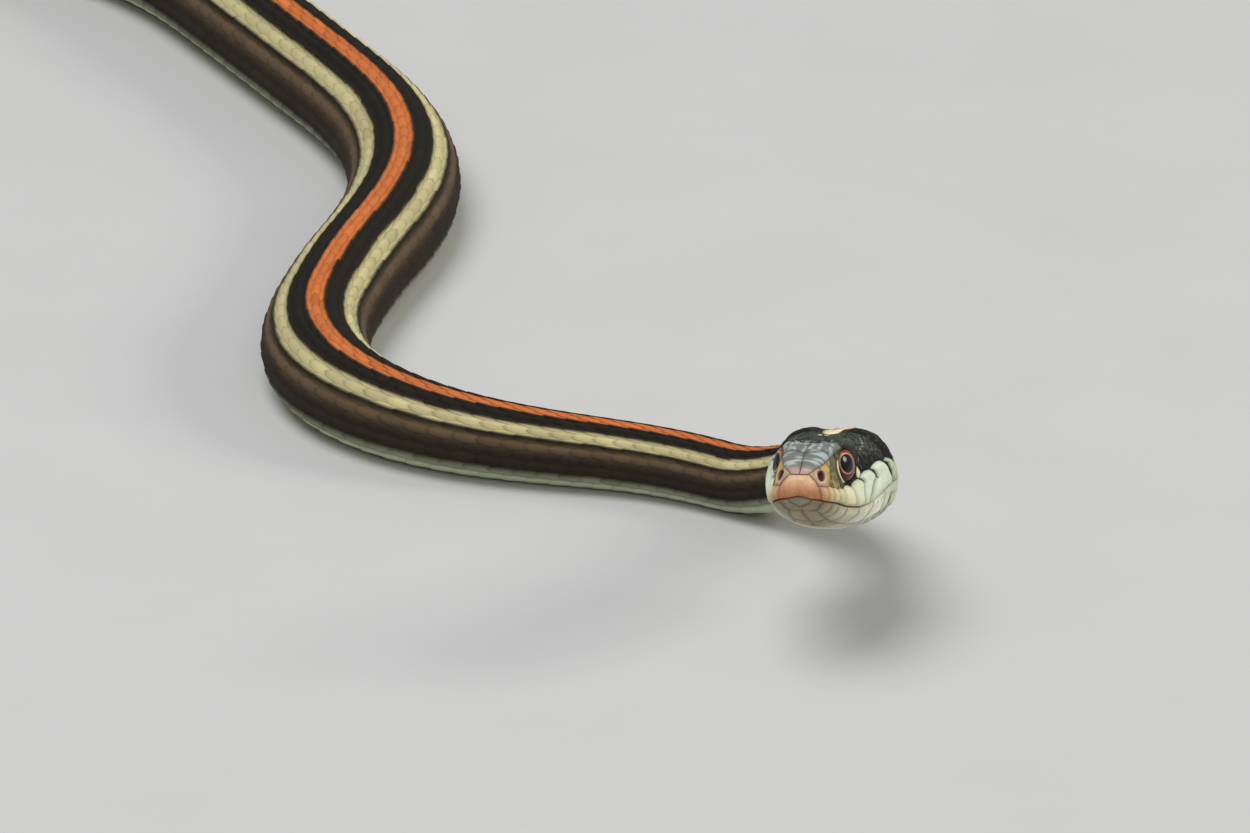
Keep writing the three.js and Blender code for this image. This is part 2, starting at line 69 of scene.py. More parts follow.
# Bends from the head to the tail tip: length, then turn in degrees, left is positive
BENDS = [
    (4, 0), (26, 68.5), (17, 21), (51, -89), (8, -4), (50, 43), (20, 0), (94, 152),
    (36, -22), (38, 16), (96, -186), (54, 50), (60, -92), (72, 88),
]
BODY_LENGTH = float(sum(length for length, turn in BENDS))
TAIL_TIP = PATH_START + BODY_LENGTH

# Sections of the head, from the snout back:
# place, half width, top, bottom, level of the widest point, squareness, side taper, belly flat
HEAD_SECTIONS = [
    (0, 0.9, 1.5, 0.35, 0.9, 2.2, 0, 1),
    (0.2, 1.5, 1.9, -0.2, 0.65, 2.3, 0.02, 1),
    (0.6, 2.05, 2.35, -0.7, 0.4, 2.6, 0.05, 1),
    (1.2, 2.5, 2.95, -1.1, 0.3, 3, 0.1, 1),
    (2.6, 3, 3.9, -1.65, 0.2, 3.6, 0.18, 1),
    (4.8, 3.5, 4.65, -2.3, 0.1, 3.4, 0.18, 1),
    (7, 4, 4.95, -2.8, 0.1, 3, 0.18, 1),
    (10, 4.75, 5.1, -3.25, 0.3, 2.7, 0.16, 1),
    (13, 5.5, 5.2, -3.5, 0.6, 2.6, 0.1, 1.01),
    (15, 5.85, 5.25, -3.55, 0.8, 2.6, 0.04, 1.02),
    (17.5, 5.3, 5, -3.6, 0.6, 2.4, 0.02, 1.04),
    (20, 4.2, 4.4, -3.1, 0.3, 2.1, 0, 1.06),
]

# Body behind the head: place from the snout, half width, height as a part of the width
BODY_SECTIONS = [
    (23, 3.45, 0.87), (30, 3.3, 0.87), (52, 3.5, 0.85), (92, 4.95, 0.82), (142, 5.3, 0.8),
    (240, 5.5, 0.8), (345, 5.2, 0.8), (447, 4.35, 0.82), (462, 3.95, 0.84), (538, 2.6, 0.88),
    (617, 0.95, 0.9), (TAIL_TIP, 0.3, 0.9),
]
AXIS_SHARE = 0.42
BELLY_FLAT = 1.07
BELLY_SQUARENESS = 2.25
MID_BODY_HALF = 5.0
# How far the chin stands back behind the snout
CHIN_STEP = 0.35
VENT = 463.5

# Height of the mouth line along the head, its arch under the snout's front, and its corner
MOUTH_LINE = [
    (-1, -0.28), (0.4, -0.3), (1.2, -0.48), (3, -0.7), (5, -1.03), (7.5, -1.19), (9.2, -0.96),
    (10.4, -0.5), (12.1, 0.26), (13.6, 0.85),
]
MOUTH_ARCH = 0.28
MOUTH_ARCH_SPREAD = 0.85
MOUTH_CORNER = 13.6

EYE = {"x": 6, "side": 2.7, "height": 2.62, "radius": 1.6, "depth": 0.95,
       "forward": math.radians(21), "upward": math.radians(8)}
EYE_NODES = {"eye_right": 1, "eye_left": -1}
OPENING_LONG, OPENING_TALL = 1.39, 1.5
PUPIL = {"ahead": 0.36, "above": 0.13, "long": 0.78, "tall": 0.8}
NOSTRIL = {"x": 0.92, "height": 1.88, "long": 0.3, "tall": 0.56, "lean": 0.4}

# Edge between the shields of the crown and of the cheek: place, then distance from the midline
CROWN_EDGE = [
    (0, 0.4), (0.4, 0.8), (0.8, 1.25), (1.3, 1.65), (1.9, 1.93), (3.1, 2.2), (4.6, 2.43),
    (6, 2.6), (7.6, 2.8), (8.6, 3.05), (9.6, 3.4), (11.2, 3.42), (12.4, 2.95), (13.4, 2.1),
]


def srgb(red, green, blue):
    """A colour given as it looks on screen, from 0 to 255, as linear light."""
    value = np.array([red, green, blue]) / 255.0
    return np.where(value <= 0.04045, value / 12.92, ((value + 0.055) / 1.055) ** 2.4)


# Colours of the animal, with painted light among them: the snout's sheen and the glints are
# painted highlights, and the chin's front is partly painted shade
ORANGE = srgb(200, 110, 54)
NAPE_CREAM = srgb(242, 224, 178)
CREAM = srgb(196, 184, 134)
GROUND = srgb(30, 25, 16)
LINE_UNDER_CREAM = srgb(34, 29, 15)
FLANK_BAND = srgb(96, 79, 57)
FLANK = srgb(46, 38, 27)
BELLY = srgb(196, 202, 168)
THROAT = srgb(198, 207, 176)
ROSTRAL = srgb(194, 134, 92)
ROSTRAL_TOP = srgb(222, 182, 144)
SNOUT = srgb(112, 117, 108)
# Painted reflection: the pale sheen of the wet snout
SNOUT_SHEEN = srgb(176, 182, 178)
SNOUT_PINK = srgb(196, 160, 144)
CROWN = srgb(32, 34, 27)
CROWN_LIGHT = srgb(70, 74, 60)
CROWN_FLECK = srgb(128, 134, 114)
NASAL = srgb(196, 164, 134)
NASAL_REAR = srgb(186, 158, 98)
LOREAL = srgb(104, 104, 70)
PREOCULAR = srgb(74, 76, 52)
EYE_SCALE = srgb(226, 222, 172)
CHIN = srgb(202, 202, 172)
# The chin's front: its own colour, darkened partly by painted shade
CHIN_FRONT = srgb(152, 141, 114)
CHIN_REAR = srgb(232, 234, 212)
BLACK = srgb(14, 13, 11)
# Painted highlight: the pale glints on the crown's edges
GLINT = srgb(206, 212, 206)
SUTURE_SNOUT = srgb(74, 72, 64)
SUTURE_NASAL = srgb(126, 96, 72)
SUTURE_LIP = srgb(150, 116, 76)
SUTURE_CHIN = srgb(116, 107, 84)
MOUTH_RED = srgb(120, 58, 44)
NOSTRIL_DARK = srgb(84, 54, 50)


def smooth(t):
    t = np.clip(t, 0, 1)
    return t * t * (3 - 2 * t)


def ramp(value, start, width):
    """Rises smoothly from 0 to 1 as the value goes from the start across the width."""
    return smooth((value - start) / width)


def hump(distance, spread):
    """A bell of height 1 at no distance."""
    return np.exp(-(distance * distance) / (spread * spread))


def blend(low, high, amount):
    return low + (high - low) * amount


def painted(colour, paint, amount):
    """Colours with a paint laid over them, by an amount at each point that is kept to 0 to 1."""
    return blend(colour, paint, np.clip(amount, 0, 1)[..., None])


def signed(angle):
    """Angles from 0 to a full turn, as angles up to half a turn to either side."""
    return np.where(angle > math.pi, angle - 2 * math.pi, angle)


def above_floor(points, least=0.0):
    """Lifts points that lie too low, in their own array, and returns it."""
    points[..., 2] = np.maximum(points[..., 2], least)
    return points


def hermite(t, low, low_slope, high, high_slope):
    """A cubic from low to high as t goes from 0 to 1, with its slope at both ends."""
    return ((2 * t**3 - 3 * t**2 + 1) * low + (t**3 - 2 * t**2 + t) * low_slope
            + (3 * t**2 - 2 * t**3) * high + (t**3 - t**2) * high_slope)


# Turns the noise, so that its cells don't line up with the model's axes
NOISE_TURN = np.array([[0.36, 0.48, -0.8], [-0.8, 0.6, 0], [0.48, 0.64, 0.6]])
LATTICE = 32


def patchy(points, cell, seed):
    """Smooth random values from 0 to 1 through space, with lattice cells of a given size."""
    lattice = np.random.default_rng(seed).random((LATTICE, LATTICE, LATTICE))
    scaled = (points / cell) @ NOISE_TURN
    whole = np.floor(scaled).astype(int)
    part = smooth(scaled - whole)
    value = 0.0
    for corner in itertools.product((0, 1), repeat=3):
        at = (whole + corner) % LATTICE
        weight = np.abs(1 - np.array(corner) - part).prod(-1)
        value = value + lattice[at[..., 0], at[..., 1], at[..., 2]] * weight
    return value


def curve_through(points):
    """A smooth curve through points that doesn't overshoot between them."""
    xs, ys = np.array(points, float).T
    rise = np.diff(ys) / np.diff(xs)
    slopes = np.zeros(len(xs))
    product = rise[:-1] * rise[1:]
    total = rise[:-1] + rise[1:]
    safe = np.where(product > 0, total, 1)
    slopes[1:-1] = np.where(product > 0, 2 * product / safe, 0)
    slopes[0], slopes[-1] = rise[0], rise[-1]

    def curve(x):
        x = np.clip(np.asarray(x, float), xs[0], xs[-1])
        k = np.clip(np.searchsorted(xs, x, side="right") - 1, 0, len(xs) - 2)
        width = xs[k + 1] - xs[k]
        t = (x - xs[k]) / width
        return hermite(t, ys[k], width * slopes[k], ys[k + 1], width * slopes[k + 1])

    return curve


def body_station(place, half, ratio):
    height = 2 * half * ratio
    return (place, half, (1 - AXIS_SHARE) * height, -AXIS_SHARE * height, 0, 2, 0, BELLY_FLAT)


STATIONS = np.array(HEAD_SECTIONS + [body_station(*section) for section in BODY_SECTIONS])
half_width, top, bottom, widest, squareness, taper, flat = [
    curve_through(STATIONS[:, [0, k]]) for k in range(1, 8)
]
mouth_level = curve_through(MOUTH_LINE)
crown_edge = curve_through(CROWN_EDGE)


def mouth_height(place, side):
    arch = MOUTH_ARCH * hump(side, MOUTH_ARCH_SPREAD) * (1 - ramp(place, 0, 2))
    return mouth_level(place) + arch


def relief(x, side, height):
    """How far the surface stands out from its plain section, on the head and nowhere behind it."""
    on_side = ramp(np.abs(side), 1.5, 1.5)
    brow = 0.4 * hump(x - 6.3, 2) * hump(np.abs(side) - 2.4, 1.1) * hump(height - 4.4, 0.8)
    eye_hollow = -0.3 * hump(x - EYE["x"], 1.6) * hump(height - EYE["height"], 1.3) * on_side
    cheek_hollow = -0.15 * hump(x - 3.7, 1.2) * hump(height - 2.3, 0.9) * on_side
    lip_fade = ramp(x, 0, 1.5) * (1 - ramp(x, 12.5, 2.5))
    upper_lip = 0.18 * hump(height - mouth_level(x) - 0.55, 0.55) * lip_fade
    lower_lip = 0.12 * hump(height - mouth_level(x) + 0.55, 0.5) * lip_fade
    jaw_muscle = 0.5 * hump(x - 15.2, 2.4) * hump(np.abs(side) - 2.8, 1.9) * ramp(height, 0, 4)
    nape_groove = -0.3 * hump(x - 15, 2.8) * hump(side, 0.9) * ramp(height, 0, 4)
    out = brow + eye_hollow + cheek_hollow + upper_lip + lower_lip + jaw_muscle + nape_groove
    return np.where(x > HEAD_SECTIONS[-1][0], 0, out)


def section_point(place, angle):
    """Place along the body, distance to the right and height of a point of the plain surface."""
    place, angle = np.broadcast_arrays(np.asarray(place, float), np.asarray(angle, float))
    sine, cosine = np.sin(angle), np.cos(angle)
    upper = cosine >= 0
    power = np.where(upper, squareness(place), BELLY_SQUARENESS)
    reach = (np.abs(sine) ** power + np.abs(cosine) ** power) ** (-1 / power)
    rise = reach * cosine
    low, level = bottom(place), widest(place)
    span = np.where(upper, top(place) - level, (level - low) * flat(place))
    narrowing = np.where(upper, 1 - taper(place) * rise, 1)
    side = half_width(place) * reach * sine * narrowing
    height = np.maximum(level + span * rise, low)
    out = relief(place, side, height)
    under = mouth_height(place, side) - height
    chin_step = CHIN_STEP * ramp(under, 0, 0.3) * (1 - ramp(place, 0, 3))
    return place + chin_step, side + out * sine, height + out * cosine


# The path of the body, sampled finely: origin and axes at each step behind the head
PATH_STEP = 0.25


def heading(along):
    angle = np.full_like(along, math.pi / 2 - HEAD_YAW)
    start = 0.0
    for length, turn in BENDS:
        angle += math.radians(turn) * smooth((along - start) / length)
        start += length
    return angle


def arc_between(start, end, along):
    """A cubic curve from one (along, height, slope) to the next."""
    (a0, z0, slope0), (a1, z1, slope1) = start, end
    span = a1 - a0
    return hermite(np.clip((along - a0) / span, 0, 1), z0, slope0 * span, z1, slope1 * span)


def path_frames():
    along = np.arange(0, BODY_LENGTH + PATH_STEP / 2, PATH_STEP)
    middle = heading(along[1:] - PATH_STEP / 2)
    neck = np.array([
        math.sin(HEAD_YAW) * math.cos(HEAD_PITCH), math.cos(HEAD_YAW) * math.cos(HEAD_PITCH),
        -math.sin(HEAD_PITCH),
    ]) * PATH_START + [0, 0, MOUTH_HEIGHT]
    x = neck[0] + np.concatenate([[0], np.cumsum(np.cos(middle))]) * PATH_STEP
    y = neck[1] + np.concatenate([[0], np.cumsum(np.sin(middle))]) * PATH_STEP
    fall = NAPE_LENGTH * (math.tan(HEAD_PITCH) + math.tan(NAPE_PITCH)) / 2
    nape = (NAPE_LENGTH, neck[2] - fall, -math.tan(NAPE_PITCH))
    floor = (NECK_DROP, float(-bottom(PATH_START + NECK_DROP)), 0)
    raised = np.where(
        along < NAPE_LENGTH, arc_between((0, neck[2], -math.tan(HEAD_PITCH)), nape, along),
        arc_between(nape, floor, along))
    z = np.where(along < NECK_DROP, raised, -bottom(PATH_START + along))
    slope = np.where(along < NECK_DROP, np.arctan(np.gradient(raised, PATH_STEP)), 0)
    slope[0] = -HEAD_PITCH
    turn = heading(along)
    back = np.stack([np.cos(turn) * np.cos(slope), np.sin(turn) * np.cos(slope), np.sin(slope)], 1)
    level = np.stack([-np.sin(turn), np.cos(turn), np.zeros_like(turn)], 1)
    roll = (-HEAD_ROLL * (1 - smooth(along / ROLL_FADE)))[:, None]
    right = level * np.cos(roll) + np.cross(back, level) * np.sin(roll)
    return along, np.stack([x, y, z], 1), back, right, np.cross(back, right)


PATH = path_frames()


def lay_out(place, side, height):
    """Points of the animal's own coordinates, set in the pose."""
    along, origins, backs, rights, ups = PATH
    behind = np.maximum(place - PATH_START, 0)
    ahead = np.minimum(place - PATH_START, 0)

    def at(table):
        return np.stack([np.interp(behind, along, table[:, k]) for k in range(3)], -1)

    return (at(origins) + at(backs) * ahead[..., None] + at(rights) * side[..., None]
            + at(ups) * height[..., None])


def surface(place, angle):
    return lay_out(*section_point(place, angle))


def surface_and_normal(place, angle):
    """Points of the surface and the directions straight out of it."""
    here = surface(place, angle)
    step = 0.02
    round_way = surface(place, angle + step) - surface(place, angle - step)
    back_way = surface(place + step, angle) - surface(place - step, angle)
    out = np.cross(back_way, round_way)
    out /= np.maximum(np.linalg.norm(out, axis=-1, keepdims=True), 1e-9)
    return here, out


def eye_centre(hand):
    """Middle of an eye in the head's own axes: hand is 1 on the right and -1 on the left."""
    return np.array([EYE["x"], EYE["side"] * hand, EYE["height"]])


def part_shift():
    """From the layout to the part's origin: the solids' eyes show where that is."""
    shift = np.zeros(3)
    for name, hand in EYE_NODES.items():
        low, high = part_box(name)
        shift += (np.array(low + high) / 2 / MM - lay_out(*eye_centre(hand))) / 2
    shift[2] = 0
    return shift


SHIFT = part_shift()


def add_to_scene(name, data):
    thing = bpy.data.objects.new(name, data)
    bpy.context.scene.collection.objects.link(thing)
    return thing


def make_piece(name, points, faces, material, colours, uv=None):
    """A mesh piece from arrays: faces is a list of index arrays, one for each number of sides."""
    mesh = bpy.data.meshes.new(name)
    points = (np.asarray(points).reshape(-1, 3) + SHIFT) * MM
    mesh.vertices.add(len(points))
    mesh.vertices.foreach_set("co", points.astype(np.float32).ravel())
    loops = np.concatenate([group.ravel() for group in faces])
    sizes = np.concatenate([np.full(len(group), group.shape[1]) for group in faces])
    mesh.loops.add(len(loops))
    mesh.loops.foreach_set("vertex_index", loops.astype(np.int32))
    mesh.polygons.add(len(sizes))
    starts = np.concatenate([[0], np.cumsum(sizes)[:-1]])
    mesh.polygons.foreach_set("loop_start", starts.astype(np.int32))
    mesh.update(calc_edges=True)
    mesh.polygons.foreach_set("use_smooth", np.full(len(sizes), True))
    layer = mesh.color_attributes.new("marking", "FLOAT_COLOR", "POINT")
    full = np.concatenate([colours.reshape(-1, 3), np.ones((len(points), 1))], 1)
    layer.data.foreach_set("color", full.astype(np.float32).ravel())
    if uv is not None:
        layer = mesh.uv_layers.new(name="OFBake")
        layer.data.foreach_set("uv", uv.reshape(-1, 2)[loops].astype(np.float32).ravel())
    mesh.materials.append(material)
    return add_to_scene(name, mesh)


def grid_faces(rows, columns, wrap):
    """The quads of a grid, facing out when its rows go back and its columns go to the right."""
    row = np.arange(rows - 1)[:, None] * columns
    column = np.arange(columns if wrap else columns - 1)
    here, beside = row + column, row + (column + 1) % columns
    return np.stack([here, here + columns, beside + columns, beside], -1).reshape(-1, 4)


def line_distance(start, end, across, up):
    """Distance of points from a straight line, and the share of the line at the nearest point."""
    (ax, ay), (bx, by) = start, end
    ex, ey = bx - ax, by - ay
    t = np.clip(((across - ax) * ex + (up - ay) * ey) / (ex * ex + ey * ey), 0, 1)
    return np.hypot(across - ax - t * ex, up - ay - t * ey), t


def polygon_depth(outline, across, up):
    """How deep points lie inside an outline: positive inside, negative outside."""
    nearest = np.full(across.shape, 1e9)
    inside = np.zeros(across.shape, bool)
    for start, end in zip(outline, outline[1:] + outline[:1]):
        nearest = np.minimum(nearest, line_distance(start, end, across, up)[0])
        (ax, ay), (bx, by) = start, end
        if ay != by:
            crossing = (bx - ax) * (up - ay) / (by - ay) + ax
            inside ^= ((ay > up) != (by > up)) & (across < crossing)
    return np.where(inside, nearest, -nearest)


# Shields of the head. They are laid in order, and each is trimmed by those laid before it, so an
# outline may run on under its neighbours. The crown's are drawn from above, as place and distance
# from the midline, the cheek's and the lips' from the side, as place and height, and the rostral
# and mental from the front, as side and height.
ROSTRAL_OUTLINE = [
    (-1.95, -1), (-2.02, 0.1), (-1.88, 0.75), (-1.5, 1.4), (-0.92, 2), (0.92, 2), (1.5, 1.4),
    (1.88, 0.75), (2.02, 0.1), (1.95, -1),
]
MENTAL_OUTLINE = [
    (-1.2, 0.4), (1.2, 0.4), (1.15, -0.3), (0.85, -0.6), (0.1, -0.95), (-0.1, -0.95),
    (-0.85, -0.6), (-1.15, -0.3),
]
CROWN_SHIELDS = [
    ("crown", [(4.95, 0), (4.88, 0.75), (5.1, 1.3), (6.6, 1), (8, 0.85), (9.1, 0), (8, -0.85),
               (6.6, -1), (5.1, -1.3), (4.88, -0.75)]),
    ("snout", [(-1, 0), (-1, 3), (3.35, 3), (3.24, 1.7), (2.5, 0)]),
    ("snout_rear", [(2.5, 0), (3.24, 1.7), (3.35, 3), (5.3, 3), (5.75, 2.15), (5.1, 1.3),
                    (4.88, 0.75), (4.95, 0)]),
    ("crown", [(4.6, 1), (5.75, 2.15), (5.3, 3.6), (8.2, 3.6), (8.3, 2.3), (8, 0.7)]),
    ("crown", [(9.1, 0), (7.8, 0.8), (8.3, 2.3), (8.2, 4), (12.9, 4), (13.35, 2.3), (13.2, 1.2),
               (12.55, 0)]),
]
CHEEK_SHIELDS = [
    ("nasal", [(-1, -1), (-1, 4.5), (3.4, 4.5), (2.75, 3.1), (2.2, 2.3), (1.55, 1.13),
               (1.5, -1)]),
    ("loreal", [(1.5, -1), (1.55, 1.13), (2.2, 2.3), (2.75, 3.1), (3.4, 4.5), (4.4, 4.5),
                (3.8, 3.3), (3.55, 2), (3.6, -1)]),
    ("preocular", [(3.6, -1), (3.55, 2), (3.8, 3.3), (4.4, 4.5), (6, 5), (5.3, 2.6), (4.8, 0.8)]),
    ("dark", [(7.2, 2.5), (7, 5), (8.7, 5), (9.2, 3.4), (8.72, 2.84), (8.6, 2.3)]),
    ("dark", [(8.6, 2.2), (8.72, 2.84), (9.2, 3.4), (8.7, 5), (10.9, 5), (11.2, 3.5),
              (10.7, 2.2)]),
    ("dark", [(10.7, 2.2), (11.2, 3.5), (10.9, 5.6), (13.2, 5.6), (13.6, 4), (13.3, 2.6)]),
]
POSTOCULAR = {"x": 7.82, "height": 1.95, "long": 0.47, "tall": 0.58}
# The lip shields run on under the mouth line, which trims them: their outlines and colours
UPPER_LIPS = [
    ([(0, -2), (0, 0.92), (0.6, 0.95), (1.22, 0.85), (1.2, -2)], srgb(212, 166, 124)),
    ([(1, -2), (1.1, 0.85), (1.55, 0.95), (1.95, 0.78), (1.9, -2)], srgb(222, 190, 146)),
    ([(1.7, -2), (1.9, 0.75), (2.4, 0.8), (2.95, 0.6), (2.85, -2)], srgb(220, 206, 160)),
    ([(2.7, -2), (2.8, 0.6), (3.5, 0.74), (4.14, 0.62), (4.4, -2)], srgb(208, 204, 160)),
    ([(4, -2), (4, 0.6), (4.4, 0.85), (5.1, 0.95), (5.7, 0.88), (6.1, 0.7), (6.7, -1.2),
      (6.7, -2)], srgb(226, 222, 184)),
    ([(6.4, -2), (5.9, 0.6), (6.3, 1.05), (6.8, 1.28), (7.5, 1.38), (8.25, 1.25), (8.5, 1),
      (8.15, -0.1), (8.3, -2)], srgb(224, 226, 192)),
    ([(8.1, -2), (7.9, 0.8), (7.85, 1.45), (8.35, 1.82), (9, 2.05), (9.8, 2.15), (10.35, 2.1),
      (10.7, 1.88), (11, 1.5), (10.75, 1.25), (10.3, 0.95), (9.75, 0.3), (9.1, -0.5),
      (8.9, -2)], srgb(216, 222, 198)),
    ([(8.7, -2), (9, 0.4), (10.2, 1.8), (10.4, 2.3), (11, 2.58), (11.8, 2.82), (12.4, 2.87),
      (13.1, 2.72), (13.45, 2.35), (13.5, 1.5), (13.5, -2)], srgb(211, 219, 194)),
    ([(13, -2), (13, 2.8), (13.6, 3.12), (14.3, 3.02), (15, 2.5), (15.2, 1.2), (14.8, 0.2),
      (14.2, -2)], srgb(184, 194, 162)),
]
# Tops of the lip shields, above which all is black: place, then height
LIP_TOPS = [
    (2.8, 0.72), (4.1, 0.65), (5.1, 0.92), (6, 0.84), (7.2, 1.36), (9.8, 2.15), (12.4, 2.88),
]
# Black gaps behind the shoulders of the rear ones: half thickness, then places and heights
LIP_GAPS = [
    (0.07, [(7.75, 1.42), (8.2, 1.3), (8.55, 1.05)]),
    (0.13, [(10.2, 2.2), (10.75, 1.92), (11.15, 1.32)]),
    (0.2, [(12.95, 2.86), (13.42, 2.5), (13.56, 1.95), (13.52, 1.25)]),
]
# Sutures between the lower lip's shields: place at the mouth, then place and height lower down
LOWER_LIPS = [
    (0.2, 0.9, -1.2), (0.96, 2, -1.5), (2.2, 3.4, -2.2), (3.44, 4.5, -2.4), (5.32, 6.4, -2.7),
    (7.8, 8.8, -2.9), (10.1, 11.3, -2.9), (12.1, 13.1, -2.2), (13.4, 14.4, -1.6),
]
# Where they end under the chin: place, then distance from the midline
LOWER_LIP_END = [
    (0.9, -0.5), (1.5, 0.1), (1.9, 1.3), (4.4, 1.55), (6.2, 1.65), (7.6, 1.95), (9.6, 2.5),
    (11.1, 3.1), (12.5, 4.4), (14.5, 5.2),
]
CHIN_SHIELDS = [
    [(1.5, 0), (1.6, 0.5), (2, 1.6), (4.6, 1.7), (5.4, 0.9), (5.3, 0)],
    [(5.3, -0.5), (5.5, 0.9), (4.5, 1.9), (8, 2.3), (9.2, 2.5), (9.8, 1.6), (9.4, 0.8), (7, 0.15)],
]
ROSTRAL_REAR, MENTAL_REAR = 0.95, 1.6
THROAT_SCALE_LONG, THROAT_SCALE_WIDE = 1.25, 0.95
# How far each kind stands out, and how much more each upper lip shield does than the one before
BULGE = {"rostral": 0.05, "upper_lip": 0.12, "crown": 0.03, "cheek": 0.03, "postocular": 0.06,
         "mental": 0.03, "lower_lip": 0.05, "chin": 0.04, "throat": 0.05}
LIP_BULGE_GROWTH = 0.016
SUTURE_HALF = 0.07
GROOVE_DEPTH = 0.07
MOUTH_DEPTH = 0.16
NOSTRIL_DEPTH = 0.45
# Painted shade on the lips, which darkens them and turns them olive down towards the mouth line
LIP_SHADE = np.array([0.8, 0.82, 0.72])
lower_lip_end = curve_through(LOWER_LIP_END)
lip_top = curve_through(LIP_TOPS)


def head_paints(place, side, height):
    """The mottled colours of each kind of shield, over the whole head."""
    spot = np.stack([place, side, height], -1)
    fine = patchy(spot, 0.2, 1) - 0.5
    broad = patchy(spot, 0.75, 2) - 0.5
    front_sheen = patchy(spot, np.array([0.2, 1.3, 0.9]), 3)
    rear_sheen = patchy(spot, np.array([0.45, 0.3, 0.6]), 4)

    def mottled(colour, amount):
        return colour * (1 + amount * (fine + 0.8 * broad))[..., None]

    # Pale streaks of painted reflection, the sheen of the wet snout, over its front and rear
    # shields
    snout = painted(SNOUT, SNOUT_SHEEN, 0.85 * ramp(front_sheen, 0.42, 0.3))
    snout = painted(snout, SNOUT_PINK, 0.9 - 0.9 * ramp(place, 0.4, 0.8))
    rear = painted(SNOUT * 0.95, SNOUT_SHEEN, 0.7 * ramp(rear_sheen, 0.4, 0.35))
    crown = painted(CROWN, CROWN_LIGHT, ramp(fine + 0.5 * broad, -0.2, 0.6))
    crown = painted(crown, CROWN_FLECK, 0.5 * ramp(patchy(spot, 0.17, 11), 0.6, 0.3))
    nasal = painted(NASAL, NASAL_REAR, ramp(place - NOSTRIL["x"], 0.1, 0.35))
    # The chin is darker at its front and middle, partly its own colour and partly painted shade
    chin_light = ramp(place, 0.5, 5) * ramp(np.abs(side), 0.6, 3)
    chin = painted(painted(CHIN_FRONT, CHIN, chin_light), CHIN_REAR, ramp(place, 7, 4))
    chin = painted(chin, THROAT * 0.94, ramp(place, 12, 2))
    dapple = 1.5 * (patchy(spot, 0.28, 12) - 0.5)
    return {
        "rostral": mottled(painted(ROSTRAL, ROSTRAL_TOP, ramp(height, 0.3, 1.5)), 0.3),
        "snout": mottled(snout, 0.12),
        "snout_rear": mottled(rear, 0.16),
        "crown": crown,
        "dark": painted(crown, BLACK, 0.75 - 0.75 * ramp(height, 2.5, 1.6)),
        "nasal": mottled(painted(nasal, LOREAL, dapple * ramp(place, 1.3, 0.5)), 0.2),
        "loreal": mottled(painted(LOREAL, NASAL_REAR, 0.35 + dapple - 0.3 * (height - 1)), 0.35),
        "preocular": mottled(painted(PREOCULAR, NASAL_REAR, dapple - 0.15), 0.4),
        "chin": mottled(chin, 0.14),
        "lip": 1 + (0.1 * (fine + broad))[..., None],
    }


